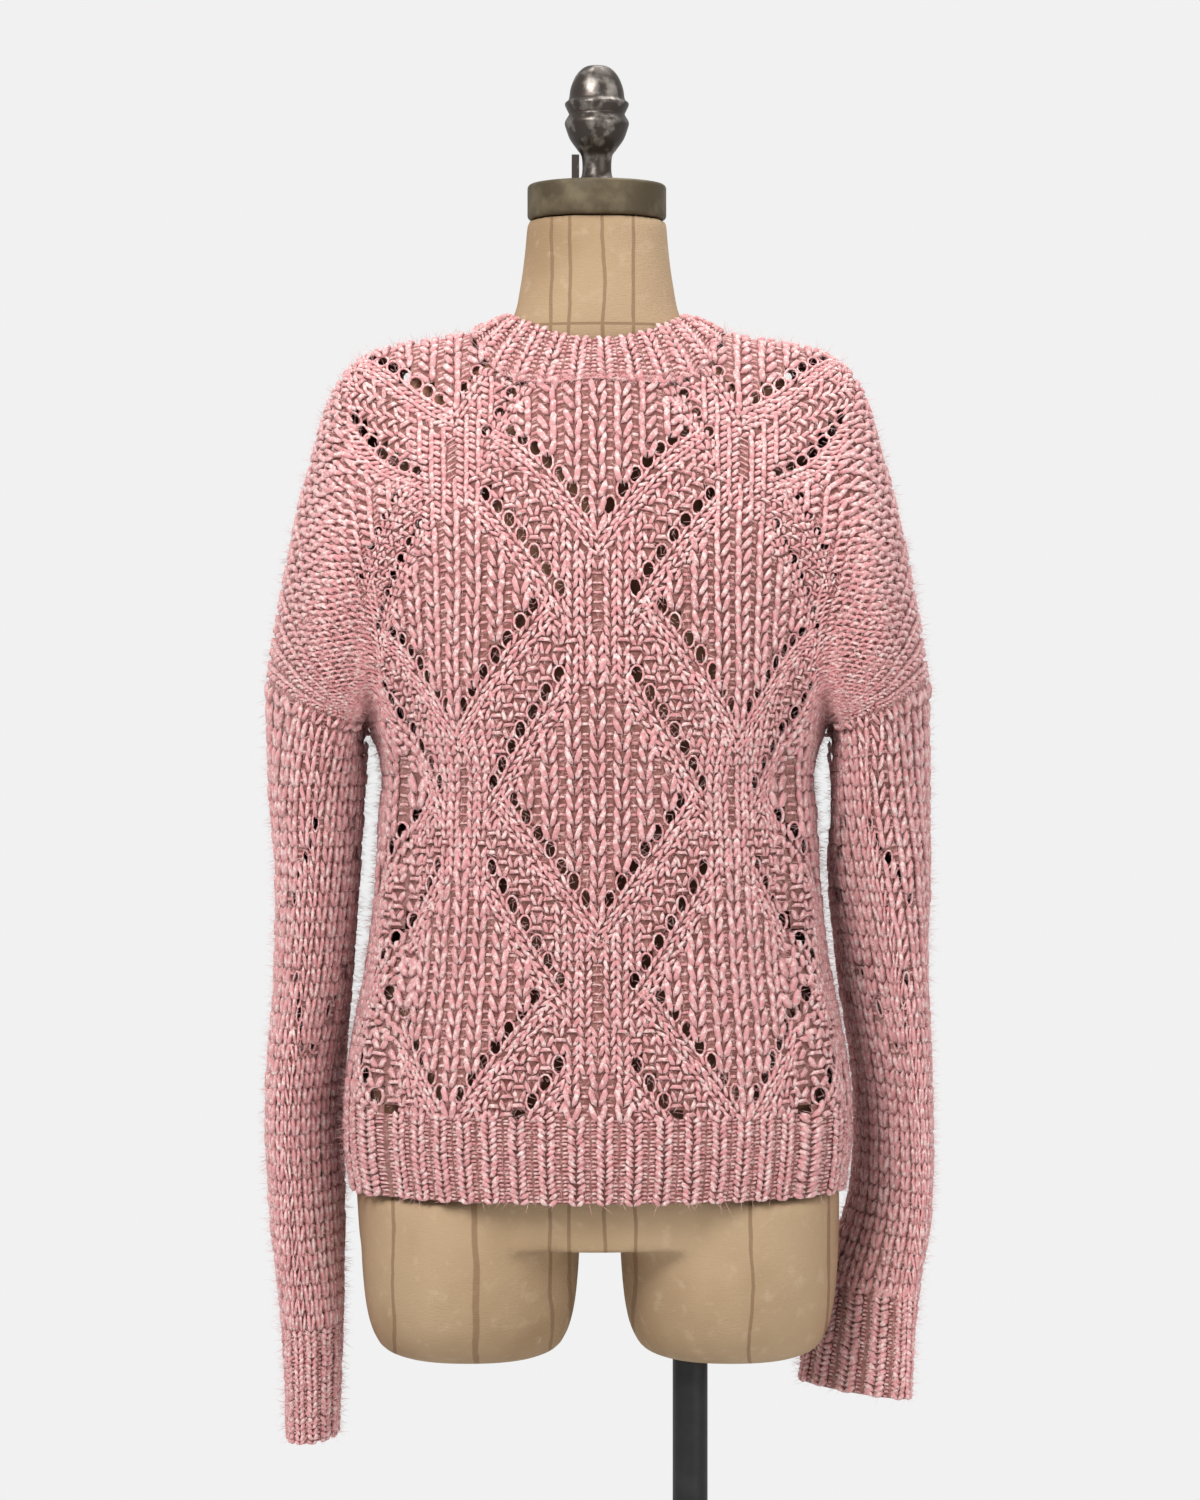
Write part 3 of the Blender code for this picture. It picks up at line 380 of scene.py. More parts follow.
def panel_place(side, wale, course):
    """A point of a panel's outer surface, held to its own side of the seam plane."""
    courses, wales, grid = PANELS[side]
    upward = smooth_through(courses, np.eye(len(courses)), course)
    across = smooth_through(wales, np.eye(len(wales)), wale)
    places = np.einsum("...r,...w,rwx->...x", upward, across, grid)
    places[..., 1] = np.maximum(places[..., 1], SEAM_GAP / 2) * FACING[side]
    return places


def armhole_facing(side, hand, share):
    """The way out of the cloth along the armhole, from the underarm (0) over to the top (1)."""
    turn = math.pi * np.asarray(share, float)
    low = turn < math.pi / 2
    x = np.where(low, -0.5 * np.sin(2 * turn), -np.cos(turn))
    z = np.where(low, -np.cos(turn), 0.0)
    return unit(np.stack([hand * x, FACING[side] * np.sin(turn), z], axis=-1))


def panel_facing(side, wale, course):
    """The way out of the cloth, held in the seam plane along the seams."""
    wale, course = np.broadcast_arrays(np.asarray(wale, float), np.asarray(course, float))
    step = 0.4
    right = panel_place(side, np.minimum(wale + step, ARMHOLE), course)
    left = panel_place(side, np.maximum(wale - step, -ARMHOLE), course)
    up = panel_place(side, wale, np.minimum(course + step, SHOULDER))
    down = panel_place(side, wale, np.maximum(course - step, HEM_COURSE))
    out = unit(np.cross(right - left, up - down)) * -FACING[side]
    over = course > SHOULDER - step
    out[over] = unit(np.cross((right - left)[over], (0.0, 1.0, 0.0)))
    out[over, 1] = 0
    hem_seam = np.abs(course) < step
    out[hem_seam, 2] = 0
    hand = np.sign(wale)
    edge = np.abs(wale) > ARMHOLE - 1e-6
    share = np.clip((course - UNDERARM) / (SHOULDER - UNDERARM), 0, 1)
    rim = armhole_facing(side, hand, share)
    high = edge & (course >= UNDERARM)
    out[high] = rim[high]
    tip = np.clip((course - (UNDERARM - 6)) / 6, 0, 1) * math.pi / 2
    seam = np.stack([hand * np.cos(tip), np.zeros_like(tip), -np.sin(tip)], axis=-1)
    low = edge & (course < UNDERARM)
    out[low] = seam[low]
    return unit(out)


def widest(course):
    """How many wales reach from the centre to the panel's edge at a course."""
    rise = np.clip((np.asarray(course, float) - 36) / 26, 0, 1)
    return SIDE_WALES + (ARMHOLE - SIDE_WALES) * rise * rise * (3 - 2 * rise)


def guide_wale(wale, course):
    """The guide wale at which a real wale lies: they part ways in the bunched side."""
    wale = np.asarray(wale, float)
    past = np.maximum(np.abs(wale) - PLAIN_WALES, 0)
    spread = (ARMHOLE - PLAIN_WALES) / (widest(course) - PLAIN_WALES)
    return np.sign(wale) * (np.minimum(np.abs(wale), PLAIN_WALES) + past * spread)


def neck_course(side, wale):
    """The course of the neckline above a wale."""
    drop = FRONT_NECK_DROP if side == "front" else BACK_NECK_DROP
    lean = np.clip(np.abs(wale) / NECK_WALE, 0, 1)
    return SHOULDER - drop * (1 - lean**2.4) ** (1 / 2.0)



# %% [markdown]
# The sleeves follow rings from the armhole down, and the neckband three rows round the neck.

# %% The surface of the sleeves and the neckband
def sleeve_rings(table, turn):
    """The sleeve's guide rings at each turn from the underarm (0) round by the front."""
    turn = np.asarray(turn, float)
    rings = []
    for height, front_x, front_y, back_x, back_y, inner, outer in table:
        front, back = np.array([front_x, front_y]), np.array([back_x, back_y])
        long = (front - back) / 2
        flat = np.array([-long[1], long[0]]) / np.linalg.norm(long)
        bulge = np.where(np.cos(turn) > 0, inner, outer) * -np.cos(turn)
        ring = (front + back) / 2 + np.sin(turn)[..., None] * long + bulge[..., None] * flat
        rings.append(np.concatenate([ring, np.full(turn.shape + (1,), height)], axis=-1))
    return np.array(rings)


def armhole_points(hand, turn):
    """The armhole's points and its way out of the cloth, at each turn from the underarm."""
    turn = np.mod(np.asarray(turn, float), 2 * math.pi)
    share = 1 - np.abs(turn / math.pi - 1)
    course = UNDERARM + share * (SHOULDER - UNDERARM)
    wale = np.full(turn.shape, hand * ARMHOLE)
    front = (turn <= math.pi)[..., None]
    place = np.where(front, panel_place("front", wale, course), panel_place("back", wale, course))
    out = np.where(front, armhole_facing("front", hand, share),
                   armhole_facing("back", hand, share))
    seam = (share < 1e-9) | (share > 1 - 1e-9)
    place[seam, 1], out[seam, 1] = 0, 0
    return place, unit(out)


def sleeve_table(hand):
    """The guide rings of one sleeve."""
    return RIGHT_SLEEVE if hand > 0 else LEFT_SLEEVE


def sleeve_courses(hand):
    """The courses of the guide rings, counted down from the armhole."""
    return [0.0] + [(ARMHOLE_HEIGHT - row[0]) / COURSE for row in sleeve_table(hand)]


def cuff_course(hand):
    """The course at which the cuff starts."""
    return sleeve_courses(hand)[-CUFF_ROWS]


def sleeve_place(hand, turn, course):
    """A point of a sleeve's outer surface."""
    turn, course = np.broadcast_arrays(np.asarray(turn, float), np.asarray(course, float))
    rings = sleeve_rings(sleeve_table(hand), turn)
    rings[..., 0] *= hand
    start, out = armhole_points(hand, turn)
    ahead, _ = armhole_points(hand, turn + 0.05)
    behind, _ = armhole_points(hand, turn - 0.05)
    away = unit(np.cross(out, ahead - behind))
    away *= np.sign((away * (rings[0] - start)).sum(-1, keepdims=True))
    rings = np.concatenate([(start + away * ARMHOLE_GAP)[None], rings])
    knots = sleeve_courses(hand)
    weights = smooth_through(knots, np.eye(len(knots)), course)
    return np.einsum("...r,r...x->...x", weights, rings)


def sleeve_facing(hand, turn, course):
    """The way out of a sleeve's cloth."""
    turn, course = np.broadcast_arrays(np.asarray(turn, float), np.asarray(course, float))
    around = sleeve_place(hand, turn + 0.06, course) - sleeve_place(hand, turn - 0.06, course)
    along = sleeve_place(hand, turn, course + 0.4) - sleeve_place(hand, turn, course - 0.4)
    out = unit(np.cross(along, around)) * hand
    level = np.abs(course - cuff_course(hand)) < 0.4
    out[level, 2] = 0
    top = course < 0.2
    _, rim = armhole_points(hand, turn)
    out[top] = rim[top]
    return unit(out)


def band_rows():
    """The neckband's outer points and its way out: three rows from the neckline seam up."""
    turn = np.linspace(0, 2 * math.pi, 2 * BAND_RIBS, endpoint=False)
    front = np.sin(turn) > 0
    wale = NECK_WALE * np.cos(turn)
    seam, out = np.empty((len(turn), 3)), np.empty((len(turn), 3))
    for side, mask in (("front", front), ("back", ~front)):
        course = neck_course(side, wale[mask])
        seam[mask] = panel_place(side, wale[mask], course)
        out[mask] = panel_facing(side, wale[mask], course)
    level = np.abs(np.sin(turn)) < 1e-9
    seam[level, 1], out[level, 1] = 0, 0
    out = unit(out)
    rise = np.sin(turn) ** 2
    depth = np.where(front, -BAND_FRONT, -BAND_BACK)
    high = np.where(front, BAND_FRONT_HEIGHT, BAND_BACK_HEIGHT)
    top = np.column_stack([BAND_HALF_WIDTH * np.cos(turn), depth * np.sin(turn),
                           BAND_SIDE_HEIGHT + (high - BAND_SIDE_HEIGHT) * rise])
    round_it = np.roll(seam, -1, axis=0) - np.roll(seam, 1, axis=0)
    away = unit(np.cross(out, round_it))
    away *= np.sign((away * (top - seam)).sum(1, keepdims=True))
    start = seam + away * SEAM_GAP
    round_top = np.roll(top, -1, axis=0) - np.roll(top, 1, axis=0)
    top_out = unit(np.cross(top - start, round_top))
    top_out *= np.sign((top_out * out).sum(1, keepdims=True))
    middle_out = unit(out + top_out)
    middle = (start + top) / 2 + middle_out * BAND_BULGE
    return np.array([start, middle, top]), np.array([out, middle_out, top_out])



# %% [markdown]
# The lace is a lattice of lozenges. Two lines of eyelets make each lower side and each upper
# side; inside stands a deep rib, and smooth and moss stitch bands run along the eyelets.

# %% The lattice of lozenges
EYELET_HALF_WIDE = 0.5
EYELET_HALF_TALL = 0.95
ARM_EYELETS = 7
RIB_PITCH = 1.66
LOZENGE_HALF_WALES = 9.5
SMOOTH_UNDER_TOP = 4.5
SMOOTH_BAND = (9, 5)
STEM_WALES = 3.3
STEM_COURSES = 14
LADDER_WALES = 0.5
# Plain rib takes over past these wales: at the sides, and on the dropped shoulders.
SIDE_PLAIN_WALE = 26
CAPE_PLAIN = (22, 38)
# On the back it starts nearer the middle than in the solids, so that no daylight shows
# through a front and a back eyelet at once. The photograph doesn't show the back.
BACK_PLAIN_WALE = 16.5


def lozenge_middles():
    """The middle wale and the lowest course of each lozenge, by column and then upward."""
    for column in range(-2, 3):
        for turn in range(-1, 3):
            yield column * COLUMN_WALES, FIRST_POINT[column % 2] + REPEAT * turn


def lozenges_near(wale):
    """How far a wale lies from each lozenge's middle, and its lowest point."""
    for middle, point in lozenge_middles():
        yield abs(wale - middle), point


def lower_line(away, point):
    """The course of the lower line of eyelets of a lozenge, so many wales from its middle."""
    return point + LOWER_STEP * (away - 1)


def upper_line(away, point):
    """The course of the upper line of eyelets."""
    return point + UPPER_COURSE - UPPER_STEP * (away - UPPER_START)


def lozenge_at(wale, course):
    """What the knit does at a place: eyelet, rib, smooth, moss, ladder or column."""
    kind = "moss"
    for away, point in lozenges_near(wale):
        if away > 10:
            continue
        step = round(away)
        on_wale = abs(away - step) < EYELET_HALF_WIDE
        if 1 <= step <= ARM_EYELETS and on_wale:
            if abs(course - lower_line(step, point)) < EYELET_HALF_TALL:
                return "eyelet"
        if 0 <= step - UPPER_START < ARM_EYELETS and on_wale:
            if abs(course - upper_line(step, point)) < EYELET_HALF_TALL:
                return "eyelet"
        lower, upper = lower_line(away, point), upper_line(away, point)
        band_wales, band_courses = SMOOTH_BAND
        if lower < course < upper and away < LOZENGE_HALF_WALES:
            kind = "rib" if upper - course > SMOOTH_UNDER_TOP else "smooth"
        elif 0 <= lower - course < band_courses and away < band_wales and kind == "moss":
            kind = "smooth"
        elif away < STEM_WALES and point - STEM_COURSES < course < point and kind != "rib":
            kind = "ladder" if away < LADDER_WALES else "column"
    return kind


CORD_OFFSETS = (1.75, 3.35)
CORD_STEP = 0.47
CORD_ZONE = (1.0, 4.1)


def on_cord(wale, course):
    """Whether a place is under one of the smooth cords below each line of eyelets."""
    for away, point in lozenges_near(wale):
        low, high = CORD_ZONE
        if away < 8.6 and low < lower_line(away, point) - course < high:
            return True
        if 2.4 < away < 9.4 and low < upper_line(away, point) - course < high:
            return True
    return False


def laced(side, wale, course):
    """Whether the lattice of lozenges reaches a place, and not plain rib."""
    cape_wale, cape_course = CAPE_PLAIN
    plain = (course > cape_course and abs(wale) > cape_wale) or abs(wale) > SIDE_PLAIN_WALE
    return not plain and not (side == "back" and abs(wale) > BACK_PLAIN_WALE)


def knit_at(wale, course, side="front"):
    """The knit's kind: the lattice, or plain rib where it doesn't reach."""
    return lozenge_at(wale, course) if laced(side, wale, course) else "rib"


# %% [markdown]
# A knit stitch is two plump leaning legs, a purl stitch one short bar. Each is a few faces
# only, because there are tens of thousands. Geometry Nodes could model each leg, but
# small templates instanced on points are lighter, and each point carries its own turn. An
# oval rim for the eyelets and a hair are made the same way.

# %% The two stitches
def limb(start, bend, end, thick, sides=4):
    """A plump tapered limb of yarn from one point to another."""
    start, bend, end = np.array(start), np.array(bend), np.array(end)
    along = (end - start) / np.linalg.norm(end - start)
    across = np.cross(along, (0, 0, 1.0))
    rings = []
    for share, size in ((0.25, 1.0), (0.72, 1.0)):
        middle = (1 - share) ** 2 * start + 2 * share * (1 - share) * bend + share**2 * end
        for k in range(sides):
            turn = 2 * math.pi * (k + 0.5) / sides
            rings.append(middle + thick * size * (math.cos(turn) * across
                                                  + 0.8 * math.sin(turn) * np.array([0, 0, 1.0])))
    points = [start] + rings + [end]
    faces = []
    for k in range(sides):
        n = (k + 1) % sides
        faces += [(0, 1 + n, 1 + k), (1 + k, 1 + n, 1 + sides + n, 1 + sides + k),
                  (1 + sides + k, 1 + sides + n, 1 + 2 * sides)]
    return points, faces


def template(name, limbs):
    """A mesh object of a few limbs, faces out."""
    points, faces = [], []
    for limb_points, limb_faces in limbs:
        shift = len(points)
        points += [tuple(p) for p in limb_points]
        faces += [tuple(shift + k for k in face) for face in limb_faces]
    mesh = bpy.data.meshes.new(name)
    mesh.from_pydata(points, [], faces)
    shape = bmesh.new()
    shape.from_mesh(mesh)
    bmesh.ops.recalc_face_normals(shape, faces=shape.faces)
    shape.to_mesh(mesh)
    shape.free()
    mesh.shade_smooth()
    piece = bpy.data.objects.new(name, mesh)
    bpy.context.scene.collection.objects.link(piece)
    return piece


LEG = 0.00185
knit_stitch = template("knit_stitch", [
    limb((0.0003, -0.0046, -0.0006), (0.0034, -0.0008, 0.0010), (0.0038, 0.0044, -0.0004), LEG),
    limb((-0.0003, -0.0046, -0.0006), (-0.0034, -0.0008, 0.0010), (-0.0038, 0.0044, -0.0004), LEG),
])
purl_stitch = template("purl_stitch", [
    limb((-0.0046, -0.0012, -0.0008), (0.0, 0.0020, 0.0014), (0.0046, -0.0012, -0.0008), 0.0013),
])


def eyelet_rim(name, wide, tall, thick, around=10, sides=4):
    """An oval of yarn that rounds off an eyelet."""
    points, faces = [], []
    for k in range(around):
        turn = 2 * math.pi * k / around
        for s in range(sides):
            swing = 2 * math.pi * (s + 0.5) / sides
            reach = thick * math.cos(swing)
            points.append(((wide + reach) * math.cos(turn), (tall + reach) * math.sin(turn),
                           thick * math.sin(swing)))
            n, m = (k + 1) % around, (s + 1) % sides
            faces.append((k * sides + s, n * sides + s, n * sides + m, k * sides + m))
    rim = template(name, [])
    rim.data.from_pydata(points, [], faces)
    rim.data.shade_smooth()
    return rim


rim = eyelet_rim("eyelet_rim", 0.0043, 0.0066, 0.0010)
hair = template("hair", [])
hair.data.from_pydata([(-0.0001, 0, 0), (0.0001, 0, 0), (0.0001, 0.5, 0.06), (0, 1, 0.20),
                       (-0.0001, 0.5, 0.06)], [],
                      [(0, 1, 2), (0, 2, 4), (4, 2, 3)])


# %% The tree that sets stitches on points
def stitch_tree(material):
    """Points in, yarn out: kind 0 takes the first template, 1 the second."""
    tree = bpy.data.node_groups.new("stitches on points", "GeometryNodeTree")
    face = tree.interface
    face.new_socket("Geometry", in_out="INPUT", socket_type="NodeSocketGeometry")
    face.new_socket("First", in_out="INPUT", socket_type="NodeSocketObject")
    face.new_socket("Second", in_out="INPUT", socket_type="NodeSocketObject")
    size = face.new_socket("Yarn size", in_out="INPUT", socket_type="NodeSocketFloat")
    size.default_value = 1.0
    face.new_socket("Geometry", in_out="OUTPUT", socket_type="NodeSocketGeometry")
    nodes, links = tree.nodes, tree.links
    source, sink = nodes.new("NodeGroupInput"), nodes.new("NodeGroupOutput")

    def attribute(name, kind):
        node = nodes.new("GeometryNodeInputNamedAttribute")
        node.data_type = kind
        node.inputs["Name"].default_value = name
        return node.outputs["Attribute"]

    scale = nodes.new("ShaderNodeVectorMath")
    scale.operation = "SCALE"
    links.new(attribute("size", "FLOAT_VECTOR"), scale.inputs[0])
    links.new(source.outputs["Yarn size"], scale.inputs["Scale"])
    join = nodes.new("GeometryNodeJoinGeometry")
    for number, name in enumerate(("First", "Second")):
        info = nodes.new("GeometryNodeObjectInfo")
        links.new(source.outputs[name], info.inputs["Object"])
        pick = nodes.new("FunctionNodeCompare")
        pick.data_type = "FLOAT"
        pick.operation = "LESS_THAN" if number == 0 else "GREATER_EQUAL"
        links.new(attribute("kind", "FLOAT"), pick.inputs[0])
        pick.inputs[1].default_value = 0.5
        put = nodes.new("GeometryNodeInstanceOnPoints")
        links.new(source.outputs["Geometry"], put.inputs["Points"])
        links.new(pick.outputs[0], put.inputs["Selection"])
        links.new(info.outputs["Geometry"], put.inputs["Instance"])
        links.new(attribute("turn", "FLOAT_VECTOR"), put.inputs["Rotation"])
        links.new(scale.outputs[0], put.inputs["Scale"])
        links.new(put.outputs[0], join.inputs[0])
    real = nodes.new("GeometryNodeRealizeInstances")
    coat = nodes.new("GeometryNodeSetMaterial")
    coat.inputs["Material"].default_value = material
    links.new(join.outputs[0], real.inputs[0])
    links.new(real.outputs[0], coat.inputs["Geometry"])
    links.new(coat.outputs[0], sink.inputs[0])
    return tree


def set_on_points(name, tree, first, second, rows):
    """A piece of realized templates. rows: place, three axes, size, kind and shade."""
    place, x, y, z, size, kind, shade = rows
    mesh = bpy.data.meshes.new(name)
    mesh.from_pydata([tuple(p) for p in place], [], [])
    turns = [Matrix((a, b, c)).transposed().to_euler() for a, b, c in zip(x, y, z)]
    for label, kind_of, values in (("turn", "FLOAT_VECTOR", np.array(turns).ravel()),
                                   ("size", "FLOAT_VECTOR", size.ravel()),
                                   ("kind", "FLOAT", kind), ("shade", "FLOAT", shade)):
        layer = mesh.attributes.new(label, kind_of, "POINT")
        layer.data.foreach_set("vector" if kind_of == "FLOAT_VECTOR" else "value",
                               np.ascontiguousarray(values, np.float32))
    carrier = bpy.data.objects.new(name, mesh)
    bpy.context.scene.collection.objects.link(carrier)
    carrier.modifiers.new("Stitches", "NODES")
    modifier = carrier.modifiers[0]
    modifier.node_group = tree
    named = {s.name: s.identifier for s in tree.interface.items_tree if s.in_out == "INPUT"}
    modifier[named["First"]] = first
    modifier[named["Second"]] = second
    modifier[named["Yarn size"]] = 1.0
    graph = bpy.context.evaluated_depsgraph_get()
    result = bpy.data.meshes.new_from_object(carrier.evaluated_get(graph),
                                             preserve_all_data_layers=True, depsgraph=graph)
    bpy.data.objects.remove(carrier)
    piece = bpy.data.objects.new(name, result)
    bpy.context.scene.collection.objects.link(piece)
    print(name, len(place), "points,", len(result.loop_triangles) or len(result.polygons), "faces")
    return piece


# %% [markdown]
# The yarn is a brushed mohair blend: pink and cream plied together, with a hair-fine silver
# thread. Colour noise along the ply, one shade for each stitch, a little sheen and a fibre
# bump are enough; a photograph of yarn would stretch and tile.

# %% The shared colour groups and the finishes
def group(name, outputs):
    """An empty shader group that reads object coordinates."""
    tree = bpy.data.node_groups.new(name, "ShaderNodeTree")
    scale = tree.interface.new_socket("Scale", in_out="INPUT", socket_type="NodeSocketFloat")
    scale.default_value = 1.0
    for label, kind in outputs:
        tree.interface.new_socket(label, in_out="OUTPUT", socket_type=kind)
    return tree, tree.nodes.new("NodeGroupInput"), tree.nodes.new("NodeGroupOutput")


def fibre_group():
    """Masks of a marled, brushed yarn: Ply (pink or cream), Fibre (fine bump), Glint."""
    tree, source, sink = group("marled yarn", (("Ply", "NodeSocketFloat"),
                                               ("Fibre", "NodeSocketFloat"),
                                               ("Glint", "NodeSocketFloat")))
    nodes, links = tree.nodes, tree.links
    place = nodes.new("ShaderNodeTexCoord")
    sized = nodes.new("ShaderNodeVectorMath")
    sized.operation = "SCALE"
    links.new(place.outputs["Object"], sized.inputs[0])
    links.new(source.outputs["Scale"], sized.inputs["Scale"])

    def noise(scale, detail, rough=0.6):
        node = nodes.new("ShaderNodeTexNoise")
        node.inputs["Scale"].default_value = scale
        node.inputs["Detail"].default_value = detail
        node.inputs["Roughness"].default_value = rough
        links.new(sized.outputs[0], node.inputs["Vector"])
        return node.outputs["Fac"]

    def ramp(value, low, high):
        node = nodes.new("ShaderNodeMapRange")
        node.inputs["From Min"].default_value = low
        node.inputs["From Max"].default_value = high
        node.interpolation_type = "SMOOTHSTEP"
        links.new(value, node.inputs["Value"])
        return node.outputs["Result"]

    links.new(ramp(noise(260, 5, 0.75), 0.46, 0.62), sink.inputs["Ply"])
    links.new(noise(1500, 3, 0.7), sink.inputs["Fibre"])
    links.new(ramp(noise(700, 1, 0.4), 0.745, 0.78), sink.inputs["Glint"])
    return tree


YARN = fibre_group()


def new_material(name, rough):
    """A material with its shader and a helper to add nodes."""
    material = bpy.data.materials.new(name)
    material.use_nodes = True
    shader = material.node_tree.nodes["Principled BSDF"]
    shader.inputs["Roughness"].default_value = rough
    return material, material.node_tree.nodes, material.node_tree.links, shader


def mix(nodes, links, share, low, high):
    """Two colours mixed by a share, each a colour or a socket."""
    node = nodes.new("ShaderNodeMix")
    node.data_type = "RGBA"
    links.new(share, node.inputs["Factor"])
    for socket, value in ((node.inputs[6], low), (node.inputs[7], high)):
        if isinstance(value, tuple):
            socket.default_value = value + (1.0,)
        else:
            links.new(value, socket)
    return node.outputs[2]


def yarn_material(name, deep, pink, cream, bump):
    """The marled yarn in three colours."""
    material, nodes, links, shader = new_material(name, 0.85)
    marl = nodes.new("ShaderNodeGroup")
    marl.node_tree = YARN
    marl.inputs["Scale"].default_value = 1.0
    shade = nodes.new("ShaderNodeAttribute")
    shade.attribute_name = "shade"
    ground = mix(nodes, links, shade.outputs["Fac"], deep, pink)
    colour = mix(nodes, links, marl.outputs["Ply"], ground, cream)
    colour = mix(nodes, links, marl.outputs["Glint"], colour, (0.97, 0.95, 0.94))
    links.new(colour, shader.inputs["Base Color"])
    links.new(marl.outputs["Glint"], shader.inputs["Metallic"])
    shader.inputs["Sheen Weight"].default_value = 0.5
    shader.inputs["Sheen Roughness"].default_value = 0.5
    shader.inputs["Sheen Tint"].default_value = (1.0, 0.85, 0.82, 1)
    rise = nodes.new("ShaderNodeBump")
    rise.inputs["Strength"].default_value = bump
    rise.inputs["Distance"].default_value = 0.0006
    links.new(marl.outputs["Fibre"], rise.inputs["Height"])
    links.new(rise.outputs["Normal"], shader.inputs["Normal"])
    return material


yarn = yarn_material("yarn", (0.60, 0.235, 0.235), (0.82, 0.36, 0.37), (0.96, 0.76, 0.72), 0.8)
# The knit's ground sheet is coloured dark brown-pink: painted shade in the gaps between the yarns.
ground_cloth_painted_shade = yarn_material("knit_ground_painted_shade", (0.24, 0.090, 0.075), (0.30, 0.115, 0.10),
                             (0.40, 0.20, 0.17), 0.5)
stitches = stitch_tree(yarn)
hairs = stitch_tree(yarn)

# %% [markdown]
# Each stitch is told where it lies, which way it leans out and how much the cloth is
# stretched there. The local spacing of wales and courses scales it, so the stitches stay
# joined where the cloth bunches under the arms.

# %% Places for the stitches of the front and the back
RIB_SIZE = 1.36
SLEEVE_SPACING = math.pi / SLEEVE_HALF_WALES
DEPTH = {"raised": 0.0019, "plain": 0.0026, "purl": 0.0031}
chance = np.random.default_rng(7)


def stitch_frames(place_at, facing_at, wale, course, hand=1):
    """Place, axes and stretch of stitches, from any surface in wales and courses."""
    centre = place_at(wale, course)
    across = place_at(wale + 0.25, course) - place_at(wale - 0.25, course)
    upward = place_at(wale, course + 0.25) - place_at(wale, course - 0.25)
    out = unit(facing_at(wale, course))
    x = across * hand
    x = unit(x - (x * out).sum(1, keepdims=True) * out)
    y = unit(np.cross(out, x))
    stretch = np.stack([np.linalg.norm(across, axis=1) * 2 / WALE,
                        np.linalg.norm(upward, axis=1) * 2 / COURSE,
                        np.ones(len(centre))], axis=1)
    return centre, x, y, out, np.clip(stretch, 0.35, 1.9)


def turned_up(frames):
    """The same frames, with each stitch pointing up."""
    centre, x, y, out, stretch = frames
    up = np.sign(y[:, 2:3]) + (y[:, 2:3] == 0)
    return centre, x * up, y * up, out, stretch


def panel_surface(side):
    """The place and the way out of a panel, by real wale and course."""
    def place_at(w, j):
        return panel_place(side, guide_wale(w, j), j)

    def facing_at(w, j):
        return panel_facing(side, guide_wale(w, j), j)
    return place_at, facing_at


def sleeve_surface(hand, first=0.0):
    """The place and the way out of a sleeve, by wale past a first turn and course."""
    def place_at(w, j):
        return sleeve_place(hand, first + w * SLEEVE_SPACING, j)

    def facing_at(w, j):
        return sleeve_facing(hand, first + w * SLEEVE_SPACING, j)
    return place_at, facing_at


def finish_rows(frames, kinds, grow, depth):
    """The rows for set_on_points, with a random tone, darker on purl bars as painted shade, and a
    little unevenness for each stitch.
    """
    centre, x, y, out, stretch = frames
    count = len(centre)
    size = stretch * grow * (1 + 0.05 * chance.standard_normal((count, 3)))
    tilt = 0.07 * chance.standard_normal((count, 1))
    x2 = unit(x + tilt * y)
    y2 = unit(np.cross(out, x2))
    place = centre - out * depth[:, None] + 0.0003 * chance.standard_normal((count, 3))
    # Each stitch gets a random tone; purl bars (kind 1) are darkened by 0.22 more, which is
    # painted shade in their recess between the knit columns.
    shade = np.clip(0.72 + 0.24 * chance.standard_normal(count) - 0.22 * kinds, 0, 1)
    return place, x2, y2, out, size, kinds, shade


def panel_rows_of_knit(side, low, high):
    """Wales, courses, kinds, growth and depth of one panel's stitches between two courses."""
    found = []
    for wale in range(-49, 50):
        top = SHOULDER - 0.3
        if abs(wale) <= NECK_WALE:
            top = min(top, float(neck_course(side, wale)) + 0.2)
        for course in np.arange(0.5, top, 1.0):
            if not low <= course < high or abs(wale) > widest(course) - 0.2:
                continue
            kind = knit_at(wale, course, side)
            if kind == "eyelet" or (kind == "rib" and wale % 2 == 0):
                continue
            if laced(side, wale, course) and on_cord(wale, course):
                continue
            if kind == "rib":
                found.append((wale, course, 1, 0.85, 1.0, 1.0, DEPTH["purl"] + 0.0006))
            elif kind == "ladder":
                found.append((wale, course, 1, 1.15, 0.7, 0.8, DEPTH["purl"]))
            elif kind == "moss" and (wale + int(course)) % 2:
                found.append((wale, course, 1, 1.10, 1.3, 1.4, DEPTH["raised"]))
            elif kind == "moss":
                found.append((wale, course, 0, 0.95, 1.0, 1.0, DEPTH["plain"]))
            else:
                found.append((wale, course, 0, 1.05, 1.05, 1.15, DEPTH["plain"] - 0.0004))
        if wale % 2 == 0:
            for course in np.arange(0.9, top, RIB_PITCH):
                inside = low <= course < high and abs(wale) <= widest(course) - 0.2
                corded = inside and laced(side, wale, course) and on_cord(wale, course)
                if inside and not corded and knit_at(wale, course, side) == "rib":
                    found.append((wale, course, 0, RIB_SIZE, RIB_PITCH, 1.3, DEPTH["raised"]))
    return np.array(found, float)


def panel_stitches(side, low, high, name):
    """A piece with all stitches of a panel between two courses."""
    found = panel_rows_of_knit(side, low, high)
    frames = stitch_frames(*panel_surface(side), found[:, 0], found[:, 1], -FACING[side])
    rows = finish_rows(frames, found[:, 2], found[:, 3:6], found[:, 6])
    return set_on_points(name, stitches, knit_stitch, purl_stitch, rows)


front_low = panel_stitches("front", 0, 50, "front_stitches_low")
front_high = panel_stitches("front", 50, 101, "front_stitches_high")
back_low = panel_stitches("back", 0, 50, "back_stitches_low")
back_high = panel_stitches("back", 50, 101, "back_stitches_high")

# %% [markdown]
# Below each line of eyelets run two smooth cords that slant with it. Their stitches are laid
# along the line itself, each turned to point up the slope.

